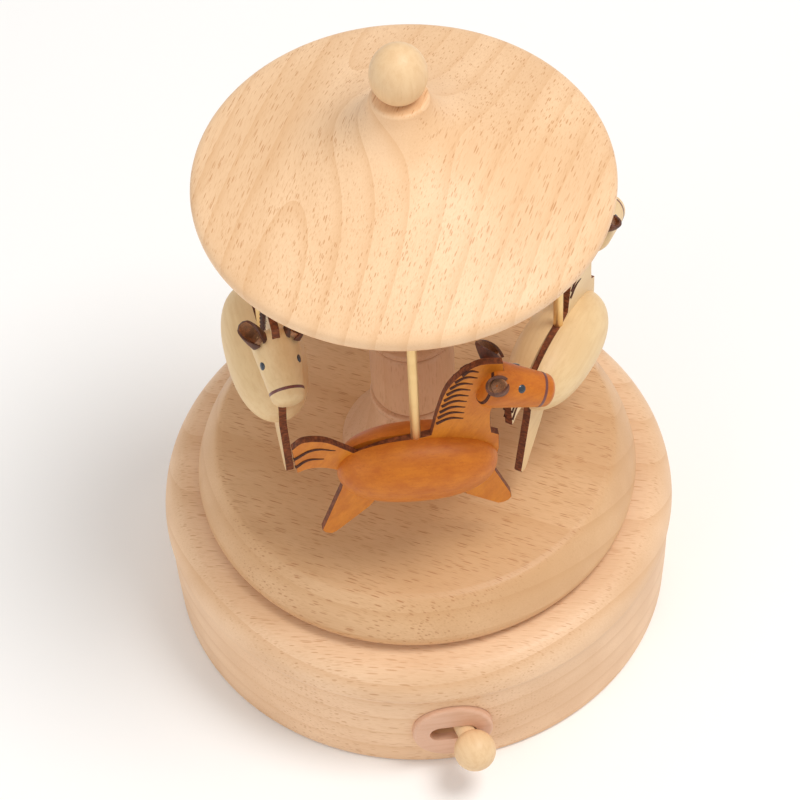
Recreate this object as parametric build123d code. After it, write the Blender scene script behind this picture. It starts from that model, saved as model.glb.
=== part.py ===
from build123d import *
import math
import os

os.makedirs("parts", exist_ok=True)

# Wooden carousel music box. Millimetres, +Z up, origin on the table under the centre of the base.

# ---- turned base ----
BASE_LIP_R = 55.0          # widest ring, at the shoulder of the top edge
BASE_LIP_Z = 25.2
BASE_FOOT_R = 53.7
BASE_TOP_Z = 31.8
BASE_FLAT_R = 49.8
CAVITY_R = 43.5
CAVITY_TOP_Z = 26.0
COVER_R = 46.5
COVER_RECESS = 0.8         # the cover sits this far above the table
COVER_T = 3.0
COVER_GAP = 0.2
COVER_TOP_Z = COVER_RECESS + COVER_T

# ---- turntable, column, roof, finial ----
TABLE_GAP = 1.0            # shadow gap between base and turntable
TABLE_Z0 = BASE_TOP_Z + TABLE_GAP
TABLE_TOP_Z = 44.7
TABLE_FLAT_R = 41.2
TABLE_R = 46.9
TENON_R = 5.0
TENON_L = 5.0
COLUMN_MID = 39.0          # the column is symmetrical about this height above the turntable
ROOF_Z0 = 122.6
ROOF_RIM_R = 41.4
ROOF_RIM_Z = 125.8
ROOF_TIP_Z = 149.4
ROOF_RECESS = 2.0
ROOF_RECESS_R = 37.5
COLUMN_TOP_Z = ROOF_Z0 + ROOF_RECESS
ROOF_TENON_L = 6.0
FINIAL_TOP_Z = 161.7
FINIAL_R = 5.6
FINIAL_HALF_H = 6.5
PEG_R = 1.5
PEG_L = 8.0

# ---- horses ----
ORBIT_R = 30.2             # rods stand on this circle
HORSES = [                 # azimuth from the front, turn about the rod, height of the back line
    {"azimuth": 0.0, "turn": 7.5, "back_z": 83.6},
    {"azimuth": 90.0, "turn": -28.0, "back_z": 79.6},
    {"azimuth": 180.0, "turn": -6.0, "back_z": 81.2},
    {"azimuth": 270.0, "turn": 12.3, "back_z": 83.2},
]
CORE_T = 1.6
BODY_R = 8.1
BODY_HALF_L = 16.3
BODY_C = (0.0, -8.2)       # centre of the turned body below the back line, (forward, up)
BODY_PITCH = -6.0
ROD_R = 1.0
ROD_IN_BODY = 6.0
ROD_IN_ROOF = 4.4
HEAD_START = (13.3, 14.0)
HEAD_L = 15.4
HEAD_PITCH = -24.2
HEAD_R = 4.85
MUZZLE_R = 3.45
EAR_ALONG = 1.8
EAR_UP = 43.0
EAR_L = 5.2
EAR_BASE_R = 2.1
EAR_TIP_R = 0.75
EAR_WALL = 0.45
EAR_LEAN = 40.0            # degrees the ears lean towards the mane

# ---- switch lever ----
LEVER_AZ = 5.1             # centre line of the switch, degrees from the front
LEVER_Z = 13.0
LEVER_PIVOT_R = 45.1
LEVER_SWING = 14.4         # each side of the centre line
LEVER_L = 15.7             # pivot to knob centre
LEVER_R = 2.0
LEVER_TAIL = 3.5
KNOB_R = 4.4
PIVOT_R = 1.0
RUN_FIT = 0.05
PLATE_R = 8.5
PLATE_T = 1.8
SPOT_D = 53.6              # flat milled on the wall for the switch plate
SLOT_L = 10.0
SLOT_H = 4.6
STOP_REACH = 12.0
STOP_R = 0.5

# ---- musical movement (own frame: x along the drum, turned about the centre shaft) ----
MOVE_TURN = -51.0
PLATE_Z0 = 24.0
PLATE_THICK = 2.0
SHAFT_R = 1.5
SHAFT_TOP_Z = 39.4
SHAFT_BOTTOM_Z = 7.6
BUSH_R = 3.5
CROWN_M = 0.6              # gear module of the crown wheel and its pinion
CROWN_TEETH = 48
DRUM_PINION_TEETH = 12
CROWN_FACE_Z = 21.8
CROWN_T = 1.5
DRUM_Z = CROWN_FACE_Z - 0.5 - CROWN_M * DRUM_PINION_TEETH / 2
DRUM_X0 = 17.8
DRUM_L = 16.0
DRUM_R = 5.2
PIN_H = 0.5
PIN_R = 0.16
ARBOR_R = 0.8
NOTES = 18
NOTE_PITCH = 0.85
FINE_M = 0.3               # gear module of the governor train
RING_TEETH = 36
GOV_PINION_TEETH = 9
WORM_WHEEL_TEETH = 24
GOV_Y = -FINE_M * (RING_TEETH + GOV_PINION_TEETH) / 2
RING_X0 = 34.2
RING_W = 1.0
WORM_WHEEL_X0 = 36.2
WORM_WHEEL_W = 0.8
WORM_X = WORM_WHEEL_X0 + WORM_WHEEL_W / 2
WORM_R = 0.9
WORM_Y = GOV_Y - FINE_M * WORM_WHEEL_TEETH / 2 - WORM_R
THIN_ARBOR_R = 0.5
FAN_R = 4.0
FAN_Z0 = 9.5
FAN_Z1 = 14.7
BRACKET_A_X = 16.45
BRACKET_B_X = 38.2
BRACKET_T = 1.0
HOUSING_R = 12.0
HOUSING_Z0 = 9.0
HOUSING_Z1 = 19.4
PILLAR_RING = 18.5
COMB_Y0 = DRUM_R + PIN_H + 0.35

exported = []


def save(node, *solids):
    """One file per node. Several solids become a group of separate solids."""
    shape = solids[0] if len(solids) == 1 else Compound(children=list(solids))
    shape.label = node
    export_step(shape, f"parts/{node}.step")
    exported.append(node)


def turned(profile):
    """Body of revolution about Z from a closed edge list drawn in the XZ plane."""
    return revolve(make_face(profile), Axis.Z, 360)


def pts(pairs):
    return [(r, 0, z) for r, z in pairs]


def rod(radius, z0, z1, x=0.0, y=0.0):
    return Pos(x, y, (z0 + z1) / 2) * Cylinder(radius, z1 - z0)


def block(x0, x1, y0, y1, z0, z1):
    return Pos((x0 + x1) / 2, (y0 + y1) / 2, (z0 + z1) / 2) * Box(x1 - x0, y1 - y0, z1 - z0)


def x_rod(radius, x0, x1, y, z):
    """Round bar along the movement's x axis."""
    return Pos((x0 + x1) / 2, y, z) * Rot(0, 90, 0) * Cylinder(radius, x1 - x0)


# ------------------------------------------------------------------ base

def at_lever(shape):
    """Place a shape drawn with x sideways, -y outwards at the lever's pivot."""
    a = math.radians(LEVER_AZ)
    p = (LEVER_PIVOT_R * math.sin(a), -LEVER_PIVOT_R * math.cos(a), LEVER_Z)
    return Pos(*p) * Rot(0, 0, LEVER_AZ) * shape


def base_outline():
    top = Spline(*pts([(BASE_FLAT_R, BASE_TOP_Z), (52.6, 30.6), (54.4, 28.2), (BASE_LIP_R, BASE_LIP_Z)]),
                 tangents=[(1, 0, 0), (0, 0, -1)])
    step = Line(*pts([(BASE_LIP_R, BASE_LIP_Z), (54.35, 23.9)]))
    drum = Spline(*pts([(54.35, 23.9), (54.3, 18.0), (54.25, 10.0), (BASE_FOOT_R + 0.1, 1.2)]))
    foot = Line(*pts([(BASE_FOOT_R + 0.1, 1.2), (BASE_FOOT_R - 0.9, 0)]))
    rest = Polyline(*pts([(BASE_FOOT_R - 0.9, 0), (COVER_R + COVER_GAP, 0), (COVER_R + COVER_GAP, COVER_TOP_Z),
                          (CAVITY_R, COVER_TOP_Z), (CAVITY_R, CAVITY_TOP_Z), (0, CAVITY_TOP_Z), (0, BASE_TOP_Z),
                          (BASE_FLAT_R, BASE_TOP_Z)]))
    return [top, step, drum, foot, rest]


def lever_mouth():
    """Wedge-shaped mortise through the wall in which the lever swings."""
    wedge = Polyline((-3.3, 3.6), (-2.9, -1.0), (-5.2, -12.5), (5.2, -12.5), (2.9, -1.0), (3.3, 3.6), close=True)
    mouth = Pos(0, 0, -SLOT_H / 2) * extrude(make_face(wedge), SLOT_H)
    spot = Pos(0, LEVER_PIVOT_R - SPOT_D - 3, 0) * Rot(90, 0, 0) * Cylinder(PLATE_R + 0.15, 6)
    return at_lever(mouth + spot)


def screw_spots(radius, angles):
    return [(radius * math.cos(math.radians(a)), radius * math.sin(math.radians(a))) for a in angles]


COVER_SCREWS = screw_spots(45.1, [20, 110, 200, 290])
PLATE_SCREWS = [(9.5, 18.0), (9.5, -17.6), (36.5, 13.5)]
SCREW_R = 0.8


def make_base():
    body = turned(base_outline())
    body -= rod(BUSH_R, CAVITY_TOP_Z - 1, BASE_TOP_Z + 1)
    body -= lever_mouth()
    body -= at_lever(rod(PIVOT_R, COVER_TOP_Z - 1 - LEVER_Z, 20.2 - LEVER_Z))
    for x, y in COVER_SCREWS:
        body -= rod(SCREW_R, COVER_TOP_Z - 1, COVER_TOP_Z + 6.2, x, y)
    for x, y in PLATE_SCREWS:
        body -= Rot(0, 0, MOVE_TURN) * rod(SCREW_R, CAVITY_TOP_Z - 1, CAVITY_TOP_Z + 3.2, x, y)
    return body


def make_cover():
    """Plywood bottom with a ring of sound holes."""
    body = rod(COVER_R, COVER_RECESS, COVER_TOP_Z)
    for x, y in COVER_SCREWS:
        body -= rod(SCREW_R, 0, COVER_TOP_Z + 1, x, y)
        body -= Pos(x, y, COVER_RECESS + 0.45) * Cone(1.35, SCREW_R, 0.9)
    for x, y in screw_spots(20.0, range(0, 360, 45)):
        body -= rod(2.4, 0, COVER_TOP_Z + 1, x, y)
    return body


def wood_screw(x, y, head_z, length):
    """Countersunk screw, driven upwards."""
    shank = rod(SCREW_R, head_z, head_z + length, x, y)
    head = Pos(x, y, head_z + 0.45) * Cone(1.35, SCREW_R, 0.9)
    slot = block(x - 1.5, x + 1.5, y - 0.2, y + 0.2, head_z - 0.1, head_z + 0.35)
    return shank + head - slot


# ------------------------------------------------------------------ switch lever

def make_switch_plate():
    """Round wooden plate with a slot and softened front edge."""
    disc = Cylinder(PLATE_R, PLATE_T)
    disc = fillet(disc.edges().sort_by(Axis.Z)[-1], 0.9)
    slot = extrude(SlotOverall(SLOT_L, SLOT_H), 2 * PLATE_T, both=True)
    disc -= slot
    out = SPOT_D + PLATE_T / 2 - LEVER_PIVOT_R
    return at_lever(Pos(0, -out, 0) * Rot(90, 0, 0) * disc)


def make_pivot_pin():
    return at_lever(rod(PIVOT_R, COVER_TOP_Z + 0.1 - LEVER_Z, 20.0 - LEVER_Z))


def on_lever(shape):
    """The lever rests at the right-hand end of its slot."""
    return at_lever(Rot(0, 0, LEVER_SWING) * shape)


def make_lever_dowel():
    length = LEVER_L + LEVER_TAIL
    dowel = Pos(0, LEVER_TAIL - length / 2, 0) * Rot(90, 0, 0) * Cylinder(LEVER_R, length)
    dowel -= Cylinder(PIVOT_R + RUN_FIT, 3 * LEVER_R)
    dowel -= Pos(0, LEVER_TAIL - 1, 0) * Rot(90, 0, 0) * Cylinder(STOP_R, 2)
    return on_lever(dowel)


def make_knob():
    ball = Sphere(KNOB_R)
    ball -= Pos(0, KNOB_R / 2, 0) * Rot(90, 0, 0) * Cylinder(LEVER_R, KNOB_R)
    return on_lever(Pos(0, -LEVER_L, 0) * ball)


def make_stop_wire():
    """Steel wire from the lever's tail, bent towards the air brake."""
    bend = math.radians(90.8 - LEVER_AZ - LEVER_SWING)
    tip = (STOP_REACH * math.cos(bend), STOP_REACH * math.sin(bend))
    knee = (0, LEVER_TAIL + 1.5)
    path = Polyline((0, LEVER_TAIL - 2, 0), (knee[0], knee[1], 0), (tip[0], tip[1], 0))
    wire = sweep(Plane(path @ 0, z_dir=path % 0) * Circle(STOP_R), path=path, transition=Transition.ROUND)
    return on_lever(wire)


# ------------------------------------------------------------------ movement

def in_movement(shape):
    return Rot(0, 0, MOVE_TURN) * shape


def gear_face(teeth, module, thick=0.42, phase=0.0, tip=1.0, root=1.2):
    """Spur gear outline with straight-sided teeth."""
    pitch_r = module * teeth / 2
    step = 2 * math.pi / teeth
    half = step * thick / 2
    outline = []
    for i in range(teeth):
        a = math.radians(phase) + i * step
        for r, d in ((pitch_r - root * module, -1.35 * half), (pitch_r + tip * module, -0.5 * half),
                     (pitch_r + tip * module, 0.5 * half), (pitch_r - root * module, 1.35 * half)):
            outline.append((r * math.cos(a + d), r * math.sin(a + d)))
    return make_face(Polyline(*outline, close=True))


def x_gear(teeth, module, x0, width, y, z, phase, tip=1.0):
    """Gear on an arbor along x. Phase is measured from +Y towards +Z."""
    gear = extrude(gear_face(teeth, module, phase=phase, tip=tip), width)
    return Pos(x0, y, z) * (Plane.YZ * gear)


def make_bedplate():
    """Zinc plate screwed to the base's ceiling; everything else of the movement hangs from it."""
    plate = rod(20.8, PLATE_Z0, PLATE_Z0 + PLATE_THICK)
    plate += block(0, 40, -17.5, 20.2, PLATE_Z0, PLATE_Z0 + PLATE_THICK)
    plate &= rod(42.0, PLATE_Z0 - 1, PLATE_Z0 + PLATE_THICK + 1)
    plate -= rod(BUSH_R, PLATE_Z0 - 1, PLATE_Z0 + PLATE_THICK + 1)
    for x, y in PLATE_SCREWS:
        plate -= rod(SCREW_R, PLATE_Z0 - 1, PLATE_Z0 + PLATE_THICK + 1, x, y)
        plate -= Pos(x, y, PLATE_Z0 + 0.45) * Cone(1.35, SCREW_R, 0.9)
    plate -= rod(THIN_ARBOR_R + RUN_FIT, PLATE_Z0 - 1, PLATE_Z0 + PLATE_THICK - 0.6, WORM_X, WORM_Y)
    return in_movement(plate)


def make_bushing():
    """Flanged brass bushing that guides the centre shaft and carries the turntable."""
    sleeve = rod(BUSH_R, PLATE_Z0, BASE_TOP_Z) + rod(6.0, BASE_TOP_Z, TABLE_Z0)
    return sleeve - rod(SHAFT_R + RUN_FIT, PLATE_Z0 - 1, TABLE_Z0 + 1)


def make_arbor_bracket(x0, y0):
    """Bearing plate hanging from the bedplate for the drum's and the governor's arbors."""
    plate = block(x0, x0 + BRACKET_T, y0, 2.6, DRUM_Z - 2.4, PLATE_Z0)
    plate -= x_rod(ARBOR_R + RUN_FIT, x0 - 1, x0 + BRACKET_T + 1, 0, DRUM_Z)
    plate -= x_rod(THIN_ARBOR_R + RUN_FIT, x0 - 1, x0 + BRACKET_T + 1, GOV_Y, DRUM_Z)
    return in_movement(plate)


def make_governor_bracket():
    """Post and foot bearing of the air brake's spindle."""
    px, py = 29.5, -12.5
    post = block(px - 1.5, px + 1.5, py - 1.5, py + 1.5, 6.6, PLATE_Z0)
    arm = block(px - 1.5, WORM_X + 1.6, WORM_Y - 1.7, WORM_Y + 1.7, 6.6, 7.8)
    body = post + arm
    body -= rod(THIN_ARBOR_R + RUN_FIT, 7.2, 8.5, WORM_X, WORM_Y)
    return in_movement(body)


def make_housing():
    """Spring cup with three ears; closed below, open ring above."""
    cup = rod(HOUSING_R, HOUSING_Z0, HOUSING_Z1) - rod(HOUSING_R - 0.8, HOUSING_Z0 + 0.8, HOUSING_Z1 - 0.8)
    cup -= rod(SHAFT_R + RUN_FIT, HOUSING_Z0 - 1, HOUSING_Z0 + 1)
    cup -= rod(SHAFT_R + 1.0, HOUSING_Z1 - 1.2, HOUSING_Z1 + 1)
    for a in (90, 180, 270):
        ear = block(HOUSING_R - 0.4, PILLAR_RING + 2.2, -2.2, 2.2, HOUSING_Z1 - 1.2, HOUSING_Z1)
        ear -= rod(0.9, HOUSING_Z1 - 2, HOUSING_Z1 + 1, PILLAR_RING, 0)
        cup += Rot(0, 0, a) * ear
    return in_movement(cup)


def make_pillars():
    """Three shouldered pillars between the bedplate and the cup's ears."""
    out = []
    for a in (90, 180, 270):
        p = rod(1.8, HOUSING_Z1, PLATE_Z0, PILLAR_RING, 0) + rod(0.9, HOUSING_Z1 - 1.8, HOUSING_Z1, PILLAR_RING, 0)
        out.append(in_movement(Rot(0, 0, a) * p))
    return out


def make_mainspring():
    """Coiled flat spring: inner end at the shaft, outer end on the cup's wall."""
    turns = 6.5
    r_in, r_out = SHAFT_R + 0.9, HOUSING_R - 1.05
    steps = 120
    inner, outer = [], []
    for i in range(steps + 1):
        t = i / steps
        a = 2 * math.pi * turns * t
        r = r_in + (r_out - r_in) * t
        inner.append(((r - 0.17) * math.cos(a), (r - 0.17) * math.sin(a)))
        outer.append(((r + 0.17) * math.cos(a), (r + 0.17) * math.sin(a)))
    strip = make_face(Polyline(*(inner + outer[::-1]), close=True))
    return in_movement(Pos(0, 0, HOUSING_Z0 + 1.4) * extrude(strip, 7.2))


def make_comb():
    """Tuned steel comb: one tongue per note, heel screwed under its block."""
    x0 = DRUM_X0 + (DRUM_L - NOTES * NOTE_PITCH) / 2
    z0 = DRUM_Z - 0.4
    heel = block(x0, x0 + NOTES * NOTE_PITCH, 13.0, 19.0, z0, z0 + 0.8)
    comb = heel
    for i in range(NOTES):
        xc = x0 + (i + 0.5) * NOTE_PITCH
        comb += block(xc - 0.3, xc + 0.3, COMB_Y0 + 0.03 * i, 13.2, z0, z0 + 0.8)
    for x in comb_screw_x():
        comb -= rod(0.9, z0 - 1, z0 + 2, x, 16.2)
    return in_movement(comb)


def comb_screw_x():
    return [DRUM_X0 + 2.6, DRUM_X0 + DRUM_L / 2, DRUM_X0 + DRUM_L - 2.6]


def make_comb_block():
    body = block(DRUM_X0, DRUM_X0 + DRUM_L, 13.4, 19.4, DRUM_Z + 0.4, PLATE_Z0)
    for x in comb_screw_x():
        body -= rod(0.9, DRUM_Z, DRUM_Z + 3.6, x, 16.2)
    return in_movement(body)


def make_comb_screws():
    out = []
    for x in comb_screw_x():
        head = rod(1.6, DRUM_Z - 1.5, DRUM_Z - 0.4, x, 16.2)
        head -= block(x - 1.8, x + 1.8, 16.0, 16.4, DRUM_Z - 1.6, DRUM_Z - 1.1)
        out.append(in_movement(head + rod(0.9, DRUM_Z - 0.4, DRUM_Z + 3.4, x, 16.2)))
    return out


def make_plate_screws():
    return [in_movement(wood_screw(x, y, PLATE_Z0, 5.0)) for x, y in PLATE_SCREWS]


def make_crown_wheel():
    """Great wheel on the centre shaft, teeth pointing down."""
    pitch_r = CROWN_M * CROWN_TEETH / 2
    body = rod(pitch_r + 1.5, CROWN_FACE_Z, CROWN_FACE_Z + CROWN_T)
    body += rod(3.2, CROWN_FACE_Z - 1.2, CROWN_FACE_Z)
    body -= rod(SHAFT_R, CROWN_FACE_Z - 3, CROWN_FACE_Z + CROWN_T + 1)
    tooth = Polyline((-0.4, 0), (-0.16, -1.05), (0.16, -1.05), (0.4, 0), close=True)
    prism = extrude(Plane.YZ * make_face(tooth), 3.0)
    prism = Pos(pitch_r - 1.5, 0, CROWN_FACE_Z) * prism
    teeth = [Rot(0, 0, 360 / CROWN_TEETH * i) * prism for i in range(CROWN_TEETH)]
    return in_movement(body + teeth)


def make_output_shaft():
    return rod(SHAFT_R, SHAFT_BOTTOM_Z, SHAFT_TOP_Z)


def make_drum():
    """Pinned drum; the pins are set in a sparse scatter, clear of the comb at rest."""
    body = x_rod(DRUM_R, DRUM_X0, DRUM_X0 + DRUM_L, 0, DRUM_Z)
    body -= x_rod(ARBOR_R, DRUM_X0 - 1, DRUM_X0 + DRUM_L + 1, 0, DRUM_Z)
    x0 = DRUM_X0 + (DRUM_L - NOTES * NOTE_PITCH) / 2
    pins = []
    for i in range(NOTES):
        for k in range(3):
            a = 20 + (i * 47 + k * 113) % 320
            pin = Pos(0, 0, DRUM_R - 0.3 + (PIN_H + 0.3) / 2) * Cylinder(PIN_R, PIN_H + 0.3)
            pins.append(Pos(x0 + (i + 0.5) * NOTE_PITCH, 0, DRUM_Z) * Rot(-90 + a, 0, 0) * pin)
    return in_movement(body + pins)


def make_drum_arbor():
    """Arbor with the stub-toothed pinion that meshes under the crown wheel."""
    arbor = x_rod(ARBOR_R, 12.2, BRACKET_B_X + BRACKET_T + 0.4, 0, DRUM_Z)
    pinion = x_gear(DRUM_PINION_TEETH, CROWN_M, 12.9, 3.0, 0, DRUM_Z, phase=90 + 180 / DRUM_PINION_TEETH,
                    tip=0.65)
    return in_movement(arbor + pinion)


def make_ring_gear():
    gear = x_gear(RING_TEETH, FINE_M, RING_X0, RING_W, 0, DRUM_Z, phase=180)
    return in_movement(gear - x_rod(ARBOR_R, RING_X0 - 1, RING_X0 + RING_W + 1, 0, DRUM_Z))


def make_governor_arbor():
    arbor = x_rod(THIN_ARBOR_R, BRACKET_A_X - 0.4, BRACKET_B_X + BRACKET_T + 0.4, GOV_Y, DRUM_Z)
    pinion = x_gear(GOV_PINION_TEETH, FINE_M, RING_X0 - 0.1, RING_W + 0.2, GOV_Y, DRUM_Z,
                    phase=180 / GOV_PINION_TEETH)
    return in_movement(arbor + pinion)


def make_worm_wheel():
    gear = x_gear(WORM_WHEEL_TEETH, FINE_M, WORM_WHEEL_X0, WORM_WHEEL_W, GOV_Y, DRUM_Z, phase=180)
    return in_movement(gear - x_rod(THIN_ARBOR_R, WORM_WHEEL_X0 - 1, WORM_WHEEL_X0 + 2, GOV_Y, DRUM_Z))


def make_worm_spindle():
    """Upright spindle with a single-start worm."""
    lead = math.pi * FINE_M
    core = rod(THIN_ARBOR_R, 7.3, PLATE_Z0 + PLATE_THICK - 0.7, WORM_X, WORM_Y)
    turns = 4
    start = DRUM_Z + lead / 2 - turns / 2 * lead - lead / 4
    helix = Pos(WORM_X, WORM_Y, start) * Helix(lead, turns * lead, THIN_ARBOR_R)
    profile = Polyline((-0.1, -0.2, 0), (0.65, -0.08, 0), (0.65, 0.08, 0), (-0.1, 0.2, 0), close=True)
    frame = Plane(origin=helix @ 0, x_dir=(1, 0, 0), z_dir=(0, -1, 0))
    thread = sweep(frame * make_face(profile), path=helix, is_frenet=True)
    return in_movement(core + thread)


def make_fan():
    """Two-bladed air brake on the spindle."""
    hub = rod(1.1, FAN_Z0, FAN_Z1, WORM_X, WORM_Y) - rod(THIN_ARBOR_R, FAN_Z0 - 1, FAN_Z1 + 1, WORM_X, WORM_Y)
    for s in (-1, 1):
        x0, x1 = sorted((WORM_X + s * 0.9, WORM_X + s * FAN_R))
        hub += block(x0, x1, WORM_Y - 0.15, WORM_Y + 0.15, FAN_Z0, FAN_Z1)
    return in_movement(hub)


# ------------------------------------------------------------------ carousel

def make_turntable():
    side = Spline(*pts([(45.4, TABLE_Z0), (TABLE_R, 34.6), (46.0, 38.8), (44.0, 42.4), (TABLE_FLAT_R, TABLE_TOP_Z)]))
    rest = Polyline(*pts([(TABLE_FLAT_R, TABLE_TOP_Z), (0, TABLE_TOP_Z), (0, TABLE_Z0), (45.4, TABLE_Z0)]))
    body = turned([side, rest])
    body -= rod(TENON_R, TABLE_TOP_Z - TENON_L, TABLE_TOP_Z + 1)
    body -= rod(SHAFT_R, TABLE_Z0 - 1, TABLE_TOP_Z - TENON_L + 1)
    return body


def make_column():
    """Turned column: flared foot, bead, barrel, bead and groove, mirrored about mid height."""
    mid = TABLE_TOP_Z + COLUMN_MID
    flare = Spline(*pts([(15.5, 45.3), (12.0, 49.2), (9.7, 54.0), (8.6, 58.8)]))
    bead_z, barrel0, barrel1 = 60.2, 62.2, 78.6
    beads = Polyline(*pts([(8.6, 58.8), (8.2, 59.2), (8.2, 59.5)]))
    bead = ThreePointArc(*pts([(8.2, 59.5), (9.1, bead_z), (8.2, 60.9)]))
    neck = Line(*pts([(8.2, 60.9), (7.9, 61.4)]))
    shoulder = ThreePointArc(*pts([(7.9, 61.4), (8.35, 61.65), (8.6, barrel0)]))
    barrel = ThreePointArc(*pts([(8.6, barrel0), (8.75, 70.4), (8.6, barrel1)]))
    top = ThreePointArc(*pts([(8.6, barrel1), (8.35, 79.15), (7.9, 79.4)]))
    groove = Polyline(*pts([(7.9, 79.4), (7.9, 79.9), (8.3, 80.0)]))
    ring = ThreePointArc(*pts([(8.3, 80.0), (9.1, 80.9), (8.3, 81.8)]))
    waist = Polyline(*pts([(8.3, 81.8), (7.4, 82.2), (7.4, mid)]))
    lower = [flare, beads, bead, neck, shoulder, barrel, top, groove, ring, waist]
    flip = Plane(origin=(0, 0, mid), z_dir=(0, 0, 1))
    upper = [e.mirror(flip) for e in lower]
    foot = Line(*pts([(15.5, TABLE_TOP_Z), (15.5, 45.3)]))
    head_z = 2 * mid - 45.3
    close = Polyline(*pts([(15.5, head_z), (15.5, COLUMN_TOP_Z), (0, COLUMN_TOP_Z), (0, TABLE_TOP_Z),
                           (15.5, TABLE_TOP_Z)]))
    body = turned([foot] + lower + upper + [close])
    body += rod(TENON_R, TABLE_TOP_Z - TENON_L + 0.5, TABLE_TOP_Z)
    body += rod(TENON_R, COLUMN_TOP_Z, COLUMN_TOP_Z + ROOF_TENON_L - 0.4)
    return body


def make_roof():
    crown = Spline(*pts([(5.9, 148.4), (6.6, 146.4), (9.6, 142.0), (14.0, 138.6), (20.0, 135.2), (27.0, 132.3),
                         (34.0, 129.8), (38.6, 128.2)]), tangents=[(0.15, 0, -1), (1, 0, -0.36)])
    rim = Spline(*pts([(38.6, 128.2), (40.7, 127.2), (ROOF_RIM_R, ROOF_RIM_Z), (40.9, 123.7), (39.6, ROOF_Z0)]),
                 tangents=[(1, 0, -0.36), (-1, 0, 0)])
    rest = Polyline(*pts([(39.6, ROOF_Z0), (ROOF_RECESS_R, ROOF_Z0), (ROOF_RECESS_R, COLUMN_TOP_Z),
                          (0, COLUMN_TOP_Z), (0, ROOF_TIP_Z), (5.1, ROOF_TIP_Z)]))
    tip = ThreePointArc(*pts([(5.1, ROOF_TIP_Z), (5.75, 149.05), (5.9, 148.4)]))
    body = turned([crown, rim, rest, tip])
    body -= rod(TENON_R, COLUMN_TOP_Z - 1, COLUMN_TOP_Z + ROOF_TENON_L)
    body -= rod(PEG_R, ROOF_TIP_Z - PEG_L / 2 - 0.2, ROOF_TIP_Z + 1)
    for horse in HORSES:
        body -= horse_place(horse) * rod(ROD_R, 0, rod_top(horse) + 0.2)
    return body


def make_finial():
    """Egg-shaped knob, flattened where it stands on the roof's tip."""
    mid = FINIAL_TOP_Z - FINIAL_HALF_H
    low = math.degrees(math.asin((ROOF_TIP_Z - mid) / FINIAL_HALF_H))
    side = Plane.XZ * EllipticalCenterArc((0, mid), FINIAL_R, FINIAL_HALF_H, start_angle=low, arc_size=90 - low)
    rest = Polyline(side @ 1, (0, 0, ROOF_TIP_Z), side @ 0)
    return turned([side, rest]) - rod(PEG_R, ROOF_TIP_Z - 1, ROOF_TIP_Z + PEG_L / 2 + 0.2)


def make_peg():
    return rod(PEG_R, ROOF_TIP_Z - PEG_L / 2, ROOF_TIP_Z + PEG_L / 2)


# ------------------------------------------------------------------ horses
# Horse frame: x towards the nose, y to its left, z up, zero on the rod's axis at the back line.

def horse_place(horse):
    a = math.radians(horse["azimuth"])
    foot = Pos(ORBIT_R * math.sin(a), -ORBIT_R * math.cos(a), horse["back_z"])
    return foot * Rot(0, 0, horse["azimuth"] + horse["turn"])


def rod_top(horse):
    return COLUMN_TOP_Z + ROD_IN_ROOF - horse["back_z"]


def horse_outline():
    """Fretwork outline: tail, back, mane crest, forelock, throat, chest, legs and belly."""
    tail = Spline((-24.8, 2.4), (-22.6, 4.2), (-18.4, 3.5), (-14.6, 0.4), (-11.7, -2.4))
    back = Spline((-11.7, -2.4), (-6.0, -0.6), (0.0, 0.0), (3.0, 0.5))
    crest = Spline((3.0, 0.5), (4.4, 7.3), (6.6, 14.4), (9.4, 18.0), (13.0, 20.2), (17.6, 19.7))
    face = Polyline((17.6, 19.7), (17.9, 16.2), (19.6, 13.0), (18.2, 8.6))
    throat = Spline((18.2, 8.6), (15.4, 6.4), (14.9, 2.0), (15.1, -1.6))
    chest = Polyline((15.1, -1.6), (16.6, -2.6), (16.6, -7.0), (15.4, -13.5))
    fore = Polyline((15.4, -13.5), (18.9, -22.8), (18.4, -25.1), (16.3, -25.7), (9.8, -20.9), (6.5, -15.0))
    belly = Line((6.5, -15.0), (-6.4, -14.6))
    hind = Polyline((-6.4, -14.6), (-10.2, -20.0), (-16.2, -25.8), (-18.2, -27.2), (-20.1, -25.6), (-15.6, -12.6))
    rump = Polyline((-15.6, -12.6), (-14.6, -8.0), (-15.9, -6.4))
    under_tail = Spline((-15.9, -6.4), (-18.4, -5.0), (-21.5, -4.4), (-24.1, -5.2))
    end = Line((-24.1, -5.2), (-24.8, 2.4))
    return [tail, back, crest, face, throat, chest, fore, belly, hind, rump, under_tail, end]


def rod_hole():
    return rod(ROD_R, -ROD_IN_BODY, 3.0)


def core_solid():
    flat = make_face([Plane.XZ * e for e in horse_outline()])
    return extrude(flat, CORE_T / 2, both=True)


def make_core():
    return core_solid() - rod_hole()


def body_profile():
    """Blunt egg outline of the turned body, about the x axis."""
    n = 2.35
    steps = 14
    out = []
    for i in range(1, steps):
        t = math.pi * (1 - i / steps)
        c, s = math.cos(t), math.sin(t)
        out.append((BODY_HALF_L * math.copysign(abs(c) ** (2 / n), c), BODY_R * s ** (2 / n), 0))
    ends = [(-BODY_HALF_L, 0, 0)] + out + [(BODY_HALF_L, 0, 0)]
    return Spline(*ends, tangents=[(0, 1, 0), (0, -1, 0)])


def turned_body():
    side = body_profile()
    egg = revolve(make_face([side, Line(side @ 1, side @ 0)]), Axis.X, 360)
    return Pos(BODY_C[0], 0, BODY_C[1]) * Rot(0, -BODY_PITCH, 0) * egg


def make_body_half(side):
    """One half of the turned body, glued to the core's left (+1) or right (-1) face."""
    far = side * 20.0
    near = side * CORE_T / 2
    y0, y1 = sorted((near, far))
    return turned_body() & block(-30, 30, y0, y1, -30, 30)


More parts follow.
